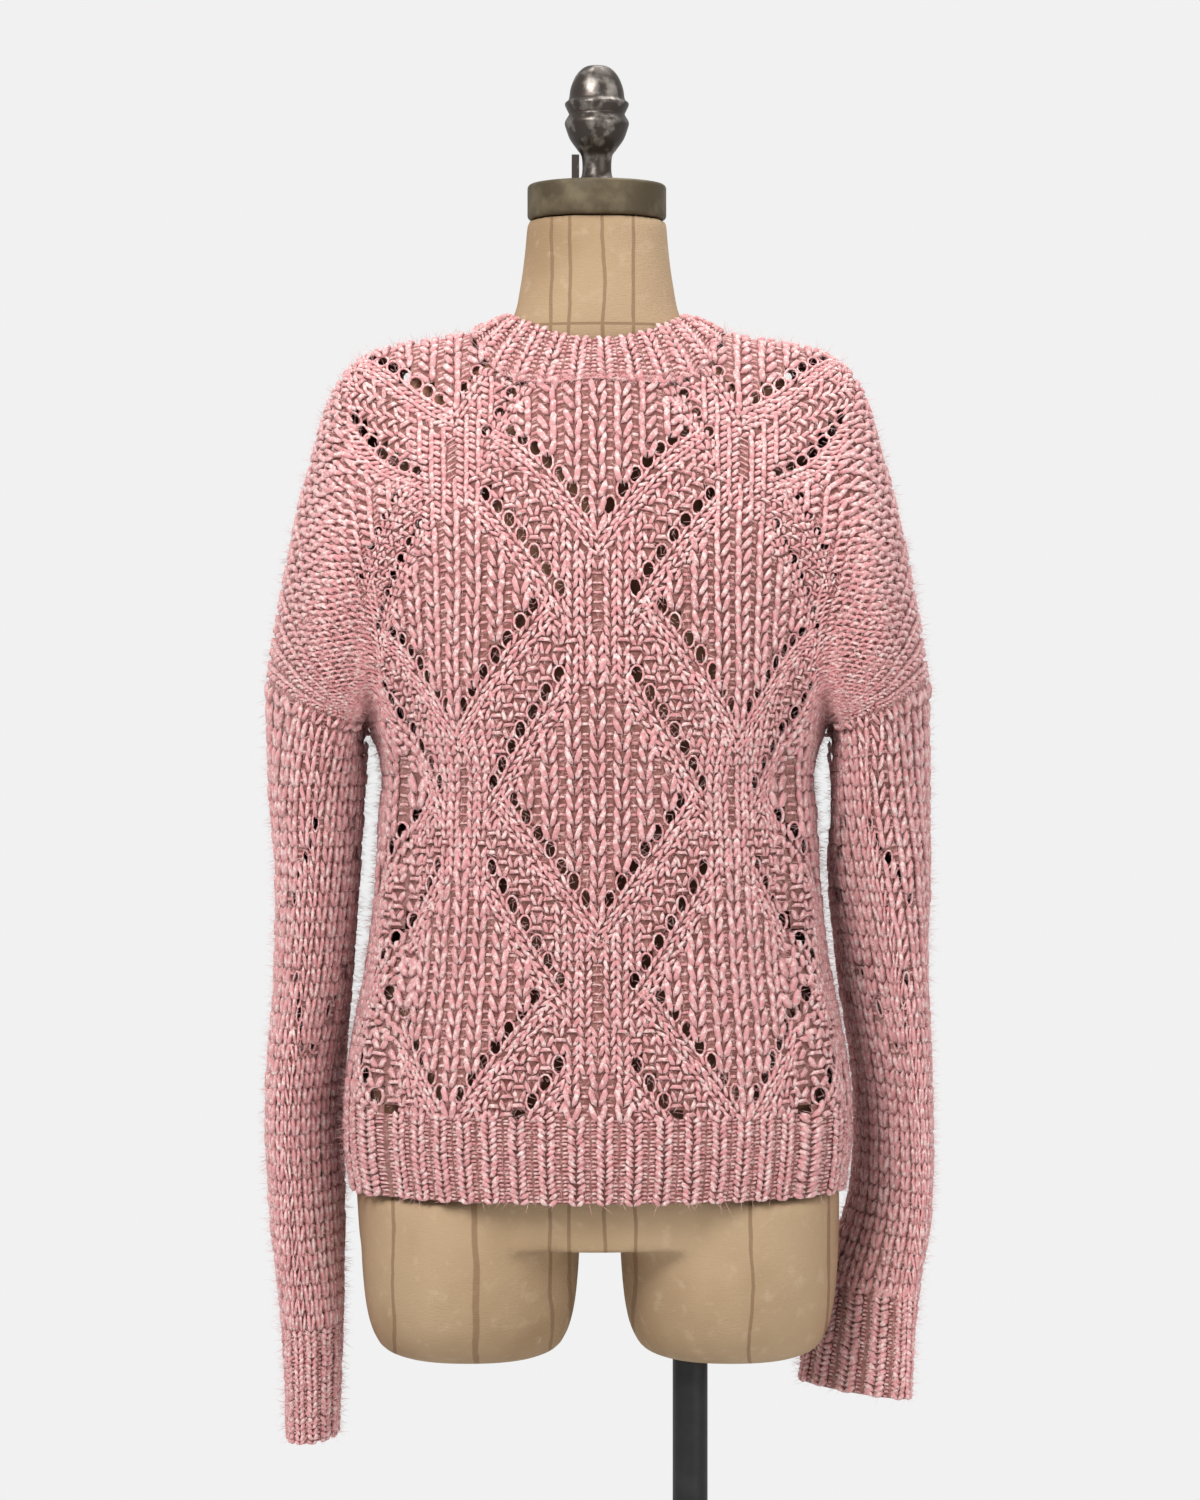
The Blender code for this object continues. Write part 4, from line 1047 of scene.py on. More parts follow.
# %% The slanting cords
def cord_spots(side):
    """Wale, course and slope (wales for each course) of the stitches of all the cords."""
    spots = []
    for middle, point in lozenge_middles():
        for sign in (-1, 1):
            for offset in CORD_OFFSETS:
                for away in np.arange(0.25, 8.6, CORD_STEP):
                    spots.append((middle + sign * away, lower_line(away, point) - offset,
                                  sign / LOWER_STEP))
                for away in np.arange(2.5, 9.3, CORD_STEP):
                    spots.append((middle + sign * away, upper_line(away, point) - offset,
                                  -sign / UPPER_STEP))
    kept = []
    for wale, course, slope in spots:
        top = float(neck_course(side, wale)) if abs(wale) <= NECK_WALE else SHOULDER
        within = 0.2 < course < top - 0.2 and abs(wale) < widest(course) - 0.5
        if within and laced(side, wale, course) and knit_at(wale, course, side) != "eyelet":
            kept.append((wale, course, slope))
    return np.array(kept, float)


def panel_cords(side, name):
    """A piece with the slanting cords of a panel."""
    spots = cord_spots(side)

    count = len(spots)
    centre, x, y, out, stretch = stitch_frames(*panel_surface(side), spots[:, 0], spots[:, 1],
                                               -FACING[side])
    slope = spots[:, 2:3] * -FACING[side] * stretch[:, :1] * WALE
    y_along = unit(y * stretch[:, 1:2] * COURSE + x * slope * -FACING[side])
    x_across = unit(np.cross(y_along, out))
    grow = np.tile([0.80, 1.05, 1.1], (count, 1))
    rows = finish_rows((centre, x_across, y_along, out, stretch), np.zeros(count), grow,
                       np.full(count, DEPTH["raised"] + 0.0002))
    return set_on_points(name, stitches, knit_stitch, purl_stitch, rows)


cords = {side: panel_cords(side, side + "_cords") for side in ("front", "back")}

# %% [markdown]
# The yarn runs round each eyelet in an oval, which turns the square gap of the ground into
# the rounded hole of a yarn-over.

# %% The rims of the eyelets
def rim_spots(side):
    """The wale and course of each eyelet that a panel shows."""
    spots = []
    for middle, point in lozenge_middles():
        for sign in (-1, 1):
            for k in range(ARM_EYELETS):
                low, high = k + 1, k + UPPER_START
                spots.append((middle + sign * low, lower_line(low, point)))
                spots.append((middle + sign * high, upper_line(high, point)))
    kept = []
    for wale, course in dict.fromkeys(spots):
        top = float(neck_course(side, wale)) if abs(wale) <= NECK_WALE else SHOULDER
        within = 1 < course < top - 1 and abs(wale) < widest(course) - 0.5
        if within and knit_at(wale, course, side) == "eyelet":
            kept.append((wale, course))
    return np.array(kept, float)


def panel_rims(side, name):
    """A piece with the rims of all the eyelets of a panel."""
    spots = rim_spots(side)

    count = len(spots)
    frames = stitch_frames(*panel_surface(side), spots[:, 0], spots[:, 1], -FACING[side])
    rows = finish_rows(frames, np.zeros(count), np.ones((count, 3)),
                       np.full(count, DEPTH["plain"] + 0.0007))
    return set_on_points(name, stitches, rim, purl_stitch, rows)


rims = {side: panel_rims(side, side + "_eyelet_rims") for side in ("front", "back")}

# %% [markdown]
# The sleeves hang flat in a plain rib with a few lozenges of eyelets. Their courses count
# down from the armhole, so the stitches are turned over to point up as on the body.

# %% The stitches of the sleeves
SLEEVE_EYELETS = 5
SLEEVE_LACE = {"front": (7, 36.0), "back": (14, 50.0)}
HALF_NAMES = ("front", "back")


def sleeve_knit(half, wale, course):
    """The sleeve's stitch kind; its wales count from the underarm or from the outer fold."""
    middle, start = SLEEVE_LACE[half]
    away = abs(wale - middle)
    for k in range(SLEEVE_EYELETS):
        low_side = abs(course - start + LOWER_STEP * k) < EYELET_HALF_TALL
        high_side = abs(course - start + UPPER_COURSE - UPPER_STEP * k) < EYELET_HALF_TALL
        near_low = abs(away - k - 1) < EYELET_HALF_WIDE
        near_high = abs(away - k - UPPER_START) < EYELET_HALF_WIDE
        if (near_low and low_side) or (near_high and high_side):
            return "eyelet"
    return "rib"


def sleeve_stitches(hand, half, name):
    """A piece with the stitches of half a sleeve, down to the cuff."""
    found = []
    for wale in range(SLEEVE_HALF_WALES):
        pitch = RIB_PITCH if wale % 2 == 0 else 1.0
        for course in np.arange(0.1, cuff_course(hand) + 0.2, pitch):
            if sleeve_knit(half, wale, course) == "eyelet":
                continue
            if wale % 2 == 0:
                found.append((wale, course, 0, RIB_SIZE, RIB_PITCH, 1.3, DEPTH["raised"]))
            else:
                found.append((wale, course, 1, 0.85, 1.0, 1.0, DEPTH["purl"] + 0.0006))
    found = np.array(found, float)
    first = 0.0 if half == "front" else math.pi

    frames = stitch_frames(*sleeve_surface(hand, first), found[:, 0], found[:, 1], hand)
    rows = finish_rows(turned_up(frames), found[:, 2], found[:, 3:6], found[:, 6])
    return set_on_points(name, stitches, knit_stitch, purl_stitch, rows)


def sleeve_eyelet_rims(hand, half, name):
    """A piece with the rims of the eyelets in half a sleeve."""
    middle, start = SLEEVE_LACE[half]
    spots = []
    for sign in (-1, 1):
        for k in range(SLEEVE_EYELETS):
            spots.append((middle + sign * (k + 1), start - LOWER_STEP * k))
            spots.append((middle + sign * (k + UPPER_START),
                          start - UPPER_COURSE + UPPER_STEP * k))
    spots = np.array([(w, c) for w, c in spots if 1 <= w < SLEEVE_HALF_WALES], float)
    first = 0.0 if half == "front" else math.pi

    count = len(spots)
    frames = stitch_frames(*sleeve_surface(hand, first), spots[:, 0], spots[:, 1], hand)
    rows = finish_rows(frames, np.zeros(count), np.ones((count, 3)),
                       np.full(count, DEPTH["plain"] + 0.0007))
    return set_on_points(name, stitches, rim, purl_stitch, rows)


sleeve_knits, sleeve_rims = {}, {}
for hand, word in ((1, "right"), (-1, "left")):
    for half in HALF_NAMES:
        name = f"sleeve_{word}_{half}"
        sleeve_rims[name] = sleeve_eyelet_rims(hand, half, name + "_rims")
        sleeve_knits[name] = sleeve_stitches(hand, half, name + "_stitches")

# %% [markdown]
# The hem, the cuffs and the neckband are one fat rib: columns of tight stitches with rows of
# purl bars between them. All three are the same recipe on three different surfaces.

# %% The ribbing
RIB_ROW = 3.9 / 6.55
PURL_ROW = 2.9 / 6.55


def ribbing(name, columns, start, end, place_at, facing_at, unit_wales, hand):
    """A rib: tall stitches on each column, and purl bars on each side of it."""
    found = []
    for column in columns:
        for course in np.arange(start + RIB_ROW / 2, end, RIB_ROW):
            found.append((column, course, 0, 1.28 * unit_wales / 2.25, RIB_ROW * 1.15, 1.15,
                          DEPTH["raised"]))
        for side in (0.36, 0.64):
            for course in np.arange(start + PURL_ROW / 2, end, PURL_ROW):
                found.append((column + side * unit_wales, course, 1, 0.62, 0.75, 0.9,
                              DEPTH["purl"] + 0.0004))
    found = np.array(found, float)
    frames = stitch_frames(place_at, facing_at, found[:, 0], found[:, 1], hand)
    rows = finish_rows(turned_up(frames), found[:, 2], found[:, 3:6], found[:, 6])
    return set_on_points(name, stitches, knit_stitch, purl_stitch, rows)


ribs = {}
hem_unit = 2 * SIDE_WALES / (2 * RIBS_HALF_PANEL)
hem_columns = -SIDE_WALES + (np.arange(2 * RIBS_HALF_PANEL) + 0.25) * hem_unit
for side in ("front", "back"):
    ribs["hem_" + side] = ribbing(f"hem_{side}_ribs", hem_columns, HEM_COURSE, 0.1,
                                  *panel_surface(side), hem_unit, -FACING[side])

cuff_unit = 2 * SLEEVE_HALF_WALES / (2 * CUFF_HALF_RIBS)
for hand, word in ((1, "right"), (-1, "left")):
    cuff_columns = (np.arange(2 * CUFF_HALF_RIBS) + 0.2) * cuff_unit
    ribs["cuff_" + word] = ribbing(f"cuff_{word}_ribs", cuff_columns, cuff_course(hand) - 0.5,
                                   sleeve_courses(hand)[-1], *sleeve_surface(hand),
                                   cuff_unit, hand)

band_places, band_outs = band_rows()
BAND_COURSES = 5.2


def round_band(table, w, j):
    """The neckband's surface at a place round it (0 to 52) and a course up it."""
    t = np.clip(np.asarray(j, float) / BAND_COURSES, 0, 1)[:, None]
    low = np.floor(w).astype(int) % (2 * BAND_RIBS)
    share = (w - np.floor(w))[:, None]
    rows = table[:, low] * (1 - share) + table[:, (low + 1) % (2 * BAND_RIBS)] * share
    return (rows[0] * (1 - t) * (1 - 2 * t) + rows[1] * 4 * t * (1 - t)
            + rows[2] * t * (2 * t - 1))


def band_place(w, j):
    return round_band(band_places, w, j)


def band_out(w, j):
    return unit(round_band(band_outs, w, j))


ribs["neckband"] = ribbing("neckband_ribs", np.arange(0, 2 * BAND_RIBS, 2) + 0.5, -0.1,
                           BAND_COURSES, band_place, band_out, 2.0, 1)

# %% [markdown]
# Behind the stitches lies a thin darker ground that closes the cloth between the yarns and leaves
# the eyelets open. It is the sheet of cloth whose area is printed beside the cut's.

# %% The ground of the knit
# The ground sheet's dark colour is painted shade in the gaps between the yarns.
GROUND_DEPTH = 0.0037


def sheet_grid(name, place_at, facing_at, wales, courses, hole_at):
    """A one-sided cloth of quads, without the cells that hole_at leaves out."""
    wale, course = np.meshgrid(wales, courses)
    flat_w, flat_c = wale.ravel(), course.ravel()
    places = place_at(flat_w, flat_c) - facing_at(flat_w, flat_c) * GROUND_DEPTH
    across = len(wales)
    faces = []
    for r in range(len(courses) - 1):
        for c in range(across - 1):
            if hole_at((wales[c] + wales[c + 1]) / 2, (courses[r] + courses[r + 1]) / 2):
                continue
            a = r * across + c
            faces.append((a, a + 1, a + across + 1, a + across))
    mesh = bpy.data.meshes.new(name)
    mesh.from_pydata([tuple(p) for p in places], [], faces)
    shape = bmesh.new()
    shape.from_mesh(mesh)
    bmesh.ops.remove_doubles(shape, verts=shape.verts, dist=1e-5)
    loose = [v for v in shape.verts if not v.link_faces]
    bmesh.ops.delete(shape, geom=loose, context="VERTS")
    shape.normal_update()
    middle = shape.faces[:]
    centre = place_at(flat_w[:1] * 0, flat_c[:1] * 0 + courses[len(courses) // 2])[0]
    nearest = min(middle, key=lambda f: (f.calc_center_median() - Vector(centre)).length)
    out = facing_at(flat_w[:1] * 0, flat_c[:1] * 0 + courses[len(courses) // 2])[0]
    if nearest.normal.dot(Vector(out)) < 0:
        bmesh.ops.reverse_faces(shape, faces=shape.faces[:])
    area = sum(f.calc_area() for f in shape.faces)
    shape.to_mesh(mesh)
    shape.free()
    mesh.shade_smooth()
    piece = bpy.data.objects.new(name, mesh)
    bpy.context.scene.collection.objects.link(piece)
    piece.data.materials.append(ground_cloth_painted_shade)
    print(name, "area", round(area, 4), "m2,", len(faces), "faces")
    return piece


def panel_clips(side, w, j):
    """Wale and course held inside the panel's edge and neckline."""
    w = np.clip(w, -widest(j), widest(j))
    neck = np.where(np.abs(w) < NECK_WALE, neck_course(side, w), SHOULDER)
    return w, np.minimum(j, neck)


def clipped_surface(side, fill=False):
    """A panel's place and way out, clipped to its edges; fill spreads the wales over it."""
    place, facing = panel_surface(side)

    def clipped(w, j):
        return panel_clips(side, w * widest(j) / ARMHOLE if fill else w, j)

    def place_at(w, j):
        return place(*clipped(w, j))

    def facing_at(w, j):
        return facing(*clipped(w, j))
    return place_at, facing_at


def panel_hole(side):
    """Where a panel has no ground: the eyelets, and what lies past its edges."""
    def hole_at(w, j):
        beyond = abs(w) > float(widest(j)) + 0.5
        above = abs(w) < NECK_WALE and j > float(neck_course(side, w))
        return beyond or above or knit_at(w, j, side) == "eyelet"
    return hole_at


grounds = {}
for side in ("front", "back"):
    place_at, facing_at = clipped_surface(side)
    wales = np.concatenate([[-ARMHOLE], np.arange(-49.5, 50, 1.0), [ARMHOLE]])
    grounds[side] = sheet_grid(f"{side}_ground", place_at, facing_at, wales,
                               np.arange(0, 100.1, 0.5), panel_hole(side))
    grounds["hem_" + side] = sheet_grid(
        f"hem_{side}_ground", place_at, facing_at, np.arange(-29, 29.1, 1.0),
        np.linspace(HEM_COURSE, 0, 8), lambda w, j: False)

for hand, word in ((1, "right"), (-1, "left")):
    place_at, facing_at = sleeve_surface(hand)
    bottom = cuff_course(hand)
    for half, first in (("front", 0), ("back", SLEEVE_HALF_WALES)):
        wales = np.concatenate([[0], np.arange(0.5, SLEEVE_HALF_WALES, 1.0),
                                [SLEEVE_HALF_WALES]]) + first

        def hole_at(w, j, half=half, first=first):
            return sleeve_knit(half, w - first, j) == "eyelet"

        grounds[f"sleeve_{word}_{half}"] = sheet_grid(
            f"sleeve_{word}_{half}_ground", place_at, facing_at, wales,
            np.linspace(0.02, bottom, int(bottom * 2)), hole_at)
    grounds["cuff_" + word] = sheet_grid(
        f"cuff_{word}_ground", place_at, facing_at, np.arange(0, 44.1, 1.0),
        np.linspace(bottom, sleeve_courses(hand)[-1], 8), lambda w, j: False)

grounds["neckband"] = sheet_grid("neckband_ground", band_place, band_out,
                                 np.arange(0, 52.1, 1.0), np.linspace(0, BAND_COURSES, 6),
                                 lambda w, j: False)

# %% [markdown]
# A brushed yarn stands off in loose hairs. They are strips far thinner than a pixel of the
# picture, strewn at random over the outside, so the outline of the cloth turns soft.

# %% The mohair haze
def fuzz(name, place_at, facing_at, wales, courses, count, long=0.0095):
    """A piece of loose hairs over a surface."""
    w = chance.uniform(*wales, count)
    j = chance.uniform(*courses, count)
    centre, x, y, out, _ = stitch_frames(place_at, facing_at, w, j)
    spin = chance.uniform(0, 2 * math.pi, (count, 1))
    lean = chance.uniform(0.0, 1.0, (count, 1))
    along = unit(np.cos(spin) * x + np.sin(spin) * y + lean * out)
    across = unit(np.cross(along, out))
    up = np.cross(across, along)
    length = chance.uniform(0.5, 1.35, count) * long
    size = np.stack([np.ones(count), length, length], axis=1)
    start = centre - out * 0.0018
    rows = (start, across, along, up, size, np.zeros(count), np.ones(count))
    return set_on_points(name, hairs, hair, hair, rows)


hazes = {}
for side in ("front", "back"):
    hazes[side] = fuzz(f"{side}_haze", *clipped_surface(side, True), (-ARMHOLE, ARMHOLE),
                       (HEM_COURSE, SHOULDER), 24000)

for hand, word in ((1, "right"), (-1, "left")):
    hazes["sleeve_" + word] = fuzz(f"sleeve_{word}_haze", *sleeve_surface(hand), (0, 44),
                                   (0.1, sleeve_courses(hand)[-1]), 11000)

# %% [markdown]
# The dress form is lofted through its girths, and one voxel remesh joins the trunk and the two
# thigh stubs. Its linen is procedural: a weave, age stains, wavy taped seams, and painted shade
# where the knit covers it.

# %% The dress form
VOXEL = 0.0045


def lofted(rows, centre_x, sides):
    """A closed loft through girths with squared-off sections."""
    heights = [row[0] for row in rows]
    sizes = np.array([row[1:] for row in rows])
    levels = np.linspace(heights[0], heights[-1], 90)
    if centre_x:
        levels = np.array(heights)
        levels = np.sort(np.concatenate([levels, (levels[1:] + levels[:-1]) / 2]))
    wide = smooth_through(heights, sizes, levels)
    turn = np.linspace(0, 2 * math.pi, sides, endpoint=False)
    power = 2 / FORM_SQUARENESS
    across = np.sign(np.cos(turn)) * np.abs(np.cos(turn)) ** power
    forward = np.sign(np.sin(turn)) * np.abs(np.sin(turn)) ** power
    points, faces = [], []
    for level, (half, front, back) in zip(levels, wide):
        depth = np.where(forward < 0, front, back)
        for x, y in zip(centre_x + half * across, depth * forward):
            points.append((x + MIDDLE[0], y + MIDDLE[1], level))
    for r in range(len(levels) - 1):
        for c in range(sides):
            n = (c + 1) % sides
            faces.append((r * sides + c, r * sides + n, (r + 1) * sides + n, (r + 1) * sides + c))
    faces.append(tuple(range(sides))[::-1])
    faces.append(tuple(range((len(levels) - 1) * sides, len(levels) * sides)))
    return points, faces


def make_form():
    """The trunk and thighs joined and smoothed."""
    points, faces = lofted(TORSO, 0.0, 96)
    for side in ("left", "right"):
        more, more_faces = lofted(THIGH, THIGH_CENTRES[side], 64)
        faces += [tuple(k + len(points) for k in face) for face in more_faces]
        points += more
    mesh = bpy.data.meshes.new("form_rough")
    mesh.from_pydata(points, [], faces)
    rough = bpy.data.objects.new("form_rough", mesh)
    bpy.context.scene.collection.objects.link(rough)
    remesh = rough.modifiers.new("Join", "REMESH")
    remesh.mode = "VOXEL"
    remesh.voxel_size = VOXEL
    smooth = rough.modifiers.new("Smooth", "SMOOTH")
    smooth.factor = 0.5
    smooth.iterations = 5
    graph = bpy.context.evaluated_depsgraph_get()
    result = bpy.data.meshes.new_from_object(rough.evaluated_get(graph), depsgraph=graph)
    bpy.data.objects.remove(rough)
    result.shade_smooth()
    piece = bpy.data.objects.new("form_linen", result)
    bpy.context.scene.collection.objects.link(piece)
    print("form faces", len(result.polygons))
    return piece


def linen_material():
    """Old linen: weave bump, brown stains, taped vertical seams, the neck seam, and painted shade
    with painted reflected pink light under the knit.
    """
    material, nodes, links, shader = new_material("linen", 0.9)
    place = nodes.new("ShaderNodeTexCoord").outputs["Object"]
    apart = nodes.new("ShaderNodeSeparateXYZ")
    links.new(place, apart.inputs[0])

    def noise(scale, detail, stretch=None):
        node = nodes.new("ShaderNodeTexNoise")
        node.inputs["Scale"].default_value = scale
        node.inputs["Detail"].default_value = detail
        source = place
        if stretch:
            sized = nodes.new("ShaderNodeVectorMath")
            sized.operation = "MULTIPLY"
            sized.inputs[1].default_value = stretch
            links.new(place, sized.inputs[0])
            source = sized.outputs[0]
        links.new(source, node.inputs["Vector"])
        return node.outputs["Fac"]

    def maths(kind, first, second=None):
        node = nodes.new("ShaderNodeMath")
        node.operation = kind
        for socket, value in zip(node.inputs, (first, second)):
            if value is None:
                continue
            if isinstance(value, float):
                socket.default_value = value
            else:
                links.new(value, socket)
        return node.outputs[0]

    def ramp(value, low, high):
        node = nodes.new("ShaderNodeMapRange")
        node.interpolation_type = "SMOOTHSTEP"
        node.inputs["From Min"].default_value = low
        node.inputs["From Max"].default_value = high
        links.new(value, node.inputs["Value"])
        return node.outputs["Result"]

    wave = maths("MULTIPLY", maths("SUBTRACT", noise(26.0, 2.0), 0.5), 0.006)
    wavy = maths("ADD", apart.outputs["X"], wave)
    seam = None
    for spot, width in SEAMS:
        away = maths("ABSOLUTE", maths("SUBTRACT", wavy, spot))
        line = maths("SUBTRACT", 1.0, ramp(away, width * 0.55, width))
        seam = line if seam is None else maths("MAXIMUM", seam, line)
    ring = maths("ABSOLUTE", maths("SUBTRACT", apart.outputs["Z"], NECK_SEAM))
    ring = maths("SUBTRACT", 1.0, ramp(ring, 0.0006, 0.0013))
    seam = maths("MAXIMUM", seam, ring)
    stain = ramp(noise(5.5, 4.0), 0.42, 0.68)
    fleck = ramp(noise(90.0, 3.0), 0.55, 0.75)
    colour = mix(nodes, links, stain, (0.48, 0.335, 0.20), (0.34, 0.22, 0.118))
    colour = mix(nodes, links, maths("MULTIPLY", fleck, 0.35), colour, (0.60, 0.45, 0.30))
    colour = mix(nodes, links, maths("MULTIPLY", seam, 0.6), colour, (0.20, 0.105, 0.05))
    height = apart.outputs["Z"]
    # From the hem up to the neckline the linen is mixed towards dark red-brown: painted shade
    # under the knit, with painted pink light reflected from it.
    painted_shade_under_knit = maths("MULTIPLY", ramp(height, 0.765, 0.80), maths("SUBTRACT", 1.0,
                                                             ramp(height, 1.335, 1.362)))
    colour = mix(nodes, links, maths("MULTIPLY", painted_shade_under_knit, 0.75), colour, (0.30, 0.115, 0.07))
    links.new(colour, shader.inputs["Base Color"])
    weft = noise(1.0, 1.0, (250.0, 250.0, 1400.0))
    warp = noise(1.0, 1.0, (1400.0, 1400.0, 250.0))
    rise = nodes.new("ShaderNodeBump")
    rise.inputs["Strength"].default_value = 0.45
    rise.inputs["Distance"].default_value = 0.0008
    links.new(maths("ADD", maths("ADD", weft, warp), maths("MULTIPLY", seam, -0.8)),
              rise.inputs["Height"])
    links.new(rise.outputs["Normal"], shader.inputs["Normal"])
    return material


SEAMS = ((-0.1455, 0.0016), (-0.0865, 0.0028), (-0.0334, 0.0016), (-0.0199, 0.0016),
         (0.0043, 0.0016), (0.0263, 0.0016), (0.1086, 0.0016), (0.1654, 0.0016))
NECK_SEAM = 1.3670
form = make_form()
form.data.materials.append(linen_material())

# %% [markdown]
# The neck cap and the finial are turned bronze and iron; the pole and base are plain black.
# Smooth profiles of many sides replace the plain solids.

# %% The turned parts of the stand
def turned(name, profile, centre, sides, material):
    """A closed lathe of (radius, height) pairs, from the axis to the axis."""
    points, faces, rings = [], [], []
    for radius, height in profile:
        if radius < 1e-6:
            rings.append([len(points)])
            points.append((centre[0], centre[1], height))
            continue
        rings.append(list(range(len(points), len(points) + sides)))
        for k in range(sides):
            turn = 2 * math.pi * k / sides
            points.append((centre[0] + radius * math.cos(turn),
                           centre[1] + radius * math.sin(turn), height))
    for low, high in zip(rings, rings[1:]):
        for k in range(sides):
            n = (k + 1) % sides
            loop = [low[k % len(low)], low[n % len(low)], high[n % len(high)],
                    high[k % len(high)]]
            loop = list(dict.fromkeys(loop))
            if len(loop) > 2:
                faces.append(loop)
    mesh = bpy.data.meshes.new(name)
    mesh.from_pydata(points, [], faces)
    shape = bmesh.new()
    shape.from_mesh(mesh)
    bmesh.ops.recalc_face_normals(shape, faces=shape.faces)
    shape.to_mesh(mesh)
    shape.free()
    mesh.shade_smooth()
    mesh.set_sharp_from_angle(angle=math.radians(40))
    piece = bpy.data.objects.new(name, mesh)
    bpy.context.scene.collection.objects.link(piece)
    piece.data.materials.append(material)
    return piece


def metal_material(name, dark, light, rough, metal, low=0.45, high=0.7, scale=60.0):
    """A worn finish of two colours under patchy noise."""
    material, nodes, links, shader = new_material(name, rough)
    place = nodes.new("ShaderNodeTexCoord").outputs["Object"]
    patch = nodes.new("ShaderNodeTexNoise")
    patch.inputs["Scale"].default_value = scale
    patch.inputs["Detail"].default_value = 5
    links.new(place, patch.inputs["Vector"])
    sharp = nodes.new("ShaderNodeMapRange")
    sharp.inputs["From Min"].default_value = low
    sharp.inputs["From Max"].default_value = high
    links.new(patch.outputs["Fac"], sharp.inputs["Value"])
    links.new(mix(nodes, links, sharp.outputs["Result"], dark, light),
              shader.inputs["Base Color"])
    shader.inputs["Metallic"].default_value = metal
    rise = nodes.new("ShaderNodeBump")
    rise.inputs["Strength"].default_value = 0.2
    rise.inputs["Distance"].default_value = 0.0006
    links.new(patch.outputs["Fac"], rise.inputs["Height"])
    links.new(rise.outputs["Normal"], shader.inputs["Normal"])
    return material


def rounded_disc(radius, low, high, edge):
    """A profile of a disc with a rounded rim."""
    profile = [(0.0, low)]
    for middle, start in ((low + edge, -90), (high - edge, 0)):
        for step in range(5):
            turn = math.radians(start + 22.5 * step)
            profile.append((radius - edge + edge * math.cos(turn),
                            middle + edge * math.sin(turn)))
    return profile + [(0.0, high)]


bronze = metal_material("bronze", (0.085, 0.062, 0.032), (0.16, 0.125, 0.07), 0.55, 0.35)
iron = metal_material("iron", (0.07, 0.056, 0.048), (0.42, 0.38, 0.34), 0.36, 0.75, 0.5, 0.74,
                      90.0)
black = metal_material("black_metal", (0.012, 0.012, 0.013), (0.02, 0.02, 0.021), 0.45, 0.2)
axis = (MIDDLE[0], MIDDLE[1])
pole_at = (MIDDLE[0] + POLE_X, MIDDLE[1])
finial_steps = np.linspace(0, len(FINIAL) - 1.001, 70)
finial_rows = smooth_through(range(len(FINIAL)), np.array(FINIAL), finial_steps)
finial_rows[0, 0] = 0
finial_profile = [(max(0.0, r), h) for r, h in finial_rows] + [(0.0, FINIAL[-1][1])]
cap = turned("cap", rounded_disc(CAP_RADIUS, CAP_BOTTOM, CAP_TOP, CAP_ROUND), axis, 96, bronze)
finial = turned("finial", finial_profile, axis, 64, iron)
pole = turned("pole_black", [(0.0, BASE_THICK + 0.0005), (POLE_RADIUS, BASE_THICK + 0.0005),
                             (POLE_RADIUS, POLE_TOP), (0.0, POLE_TOP)], pole_at, 64, black)
base = turned("base_black", rounded_disc(BASE_RADIUS, 0.0, BASE_THICK, BASE_ROUND), axis, 128,
              black)
for node, finish in (("finial_catch", iron), ("pole_socket", black)):
    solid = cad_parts[node]
    solid.data.materials.clear()
    solid.data.materials.append(finish)

# %% [markdown]
# The solids that the new pieces stand for are hidden, and the stitches of each body panel are
# grouped by panel. The flat sizes come from the knit's gauge: wales across and courses up.

# %% Hiding the solids that the pieces stand for
for side in ("front", "back"):
    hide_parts(side)
    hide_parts("hem_" + side)
for name in ("sleeve_right_front", "sleeve_right_back", "sleeve_left_front",
             "sleeve_left_back", "cuff_right", "cuff_left", "neckband"):
    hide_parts(name)
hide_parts("form")
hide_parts("neck_cap")
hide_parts("neck_finial")
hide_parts("pole")
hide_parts("base")

body_stitches = {"front": [front_low, front_high, cords["front"], rims["front"]],
                 "back": [back_low, back_high, cords["back"], rims["back"]]}

# %% [markdown]
# The flat cuts are drawn as a maker would, from the gauge and the seams and never from the
# draped surface, so that the frame's area test really compares two different things. A panel
# is a body as wide as its hem, and above the underarm the armhole and the shoulder seam close
# a triangle whose three lengths are known.

# %% The flat cuts
RIB_UNIT = 2 * SIDE_WALES * WALE / (2 * RIBS_HALF_PANEL)
SCOOP_FULLNESS = 0.80


def seam_length(places):
    """The length of a seam through points."""
    return float(np.linalg.norm(np.diff(places, axis=0), axis=1).sum())


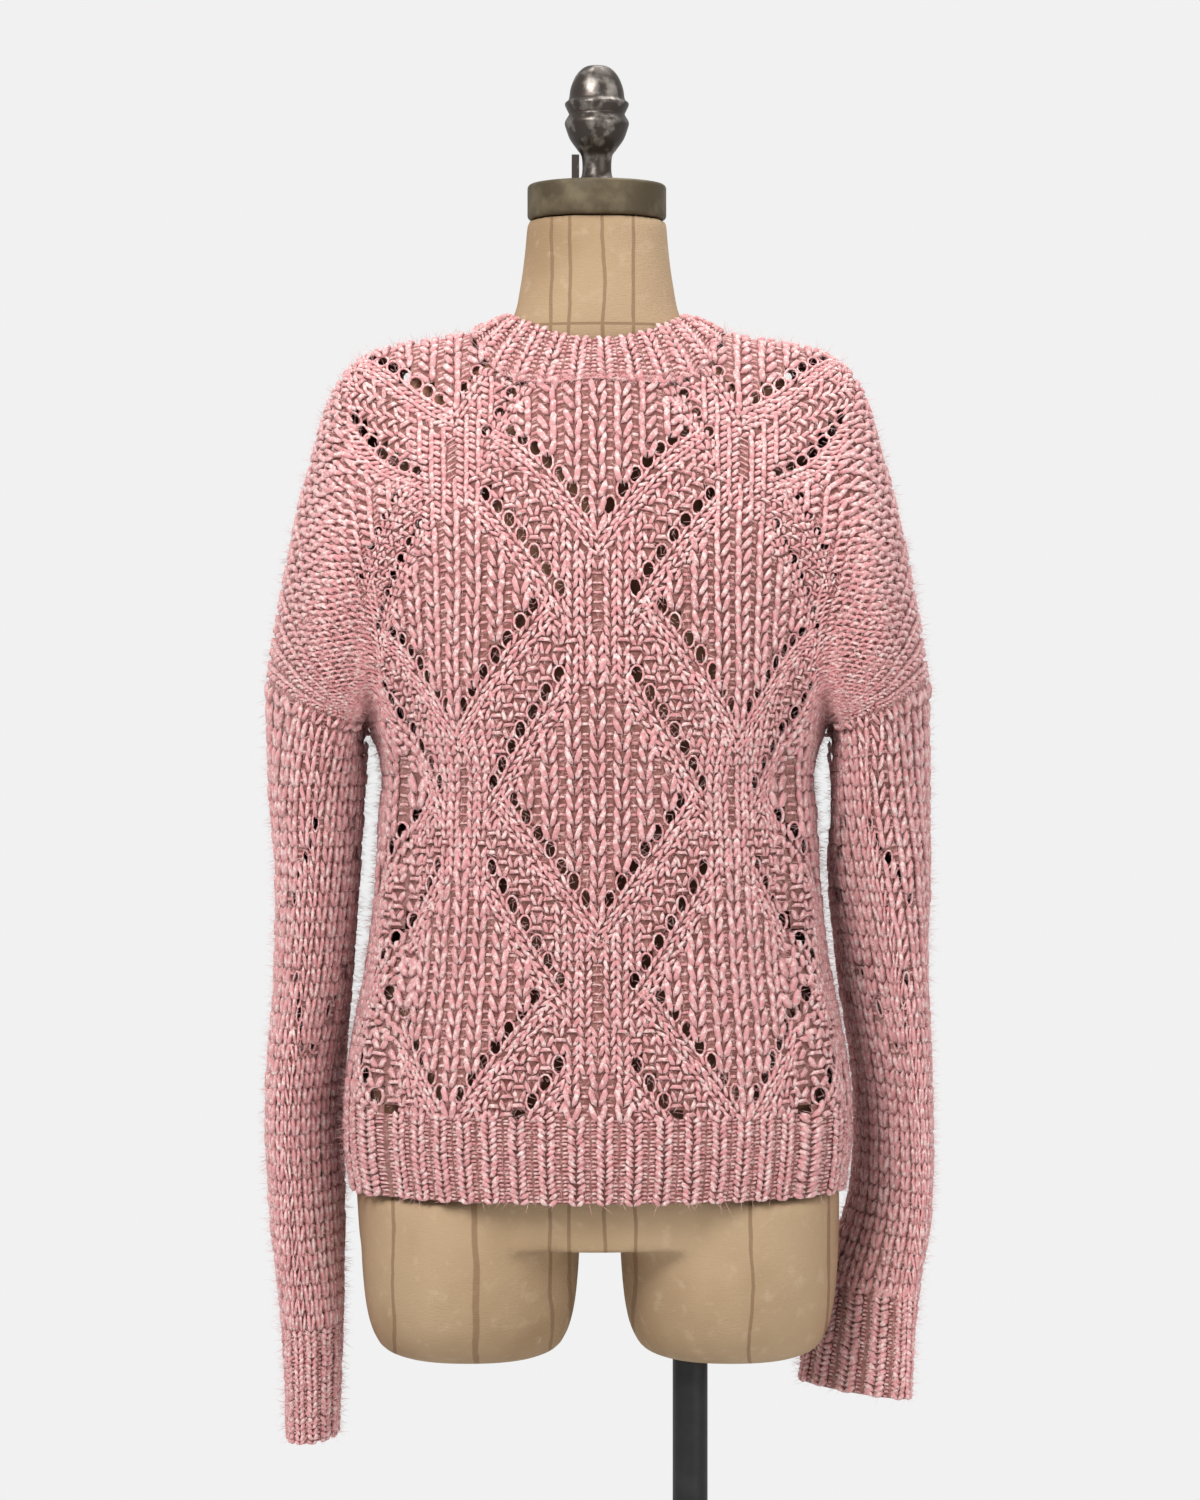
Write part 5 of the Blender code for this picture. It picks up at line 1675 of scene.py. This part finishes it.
def panel_cut(side):
    """Width, length and area of a flat panel, laid out from its seam lengths."""
    steps = np.linspace(UNDERARM, SHOULDER, 60)
    armhole = seam_length(panel_place(side, np.full(60, ARMHOLE), steps))
    wales = np.linspace(NECK_WALE, ARMHOLE, 60)
    shoulder = seam_length(panel_place(side, wales, np.full(60, SHOULDER)))
    body, side_seam, height = SIDE_WALES * WALE, UNDERARM * COURSE, SHOULDER * COURSE
    neck = NECK_WALE * WALE
    across, down = body - neck, height - side_seam
    gap = math.hypot(across, down)
    bend = math.acos((shoulder**2 + gap**2 - armhole**2) / (2 * shoulder * gap))
    slope = math.atan2(down, across) - bend
    tip = (neck + shoulder * math.cos(slope), height - shoulder * math.sin(slope))
    outline = [(0, 0), (body, 0), (body, side_seam), tip, (neck, height), (0, height)]
    twice = sum(a[0] * b[1] - b[0] * a[1] for a, b in zip(outline, outline[1:] + outline[:1]))
    drop = FRONT_NECK_DROP if side == "front" else BACK_NECK_DROP
    scoop = SCOOP_FULLNESS * 2 * neck * drop * COURSE
    print(side, "armhole", round(armhole, 3), "shoulder", round(shoulder, 3))
    return 2 * max(body, tip[0]), height, twice - scoop


extras = []
for name, ground in grounds.items():
    mates = body_stitches.get(name, [])
    if name in sleeve_knits:
        mates = [sleeve_knits[name], sleeve_rims[name]]
    if name in ribs:
        mates = [ribs[name]]
    extras += mates
    hand = 1 if "right" in name else -1
    area = None
    if name in ("front", "back"):
        width, length, area = panel_cut(name)
    elif name.startswith("hem"):
        width, length = 2 * SIDE_WALES * WALE, -HEM_COURSE * COURSE
    elif name.startswith("sleeve"):
        width, length = SLEEVE_HALF_WALES * WALE, cuff_course(hand) * COURSE
    elif name.startswith("cuff"):
        width = 2 * CUFF_HALF_RIBS * RIB_UNIT
        length = (sleeve_courses(hand)[-1] - cuff_course(hand)) * COURSE
    else:
        width, length = BAND_RIBS * RIB_UNIT, BAND_COURSES * COURSE
    shown = sum(p.area for p in ground.data.polygons)
    print(name, "flat", round(width, 3), round(length, 3), "cut",
          round(area or width * length, 4), "shown", round(shown, 4), "share",
          round(shown / (area or width * length), 3))
    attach(ground, "root")

for piece in extras + list(hazes.values()):
    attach(piece, "root")
for piece, word in ((form, "linen"), (cap, "bronze"), (finial, "iron"), (pole, "black_metal"),
                    (base, "black_metal")):
    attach(piece, "root")
for pattern in (knit_stitch, purl_stitch, rim, hair):
    bpy.data.objects.remove(pattern)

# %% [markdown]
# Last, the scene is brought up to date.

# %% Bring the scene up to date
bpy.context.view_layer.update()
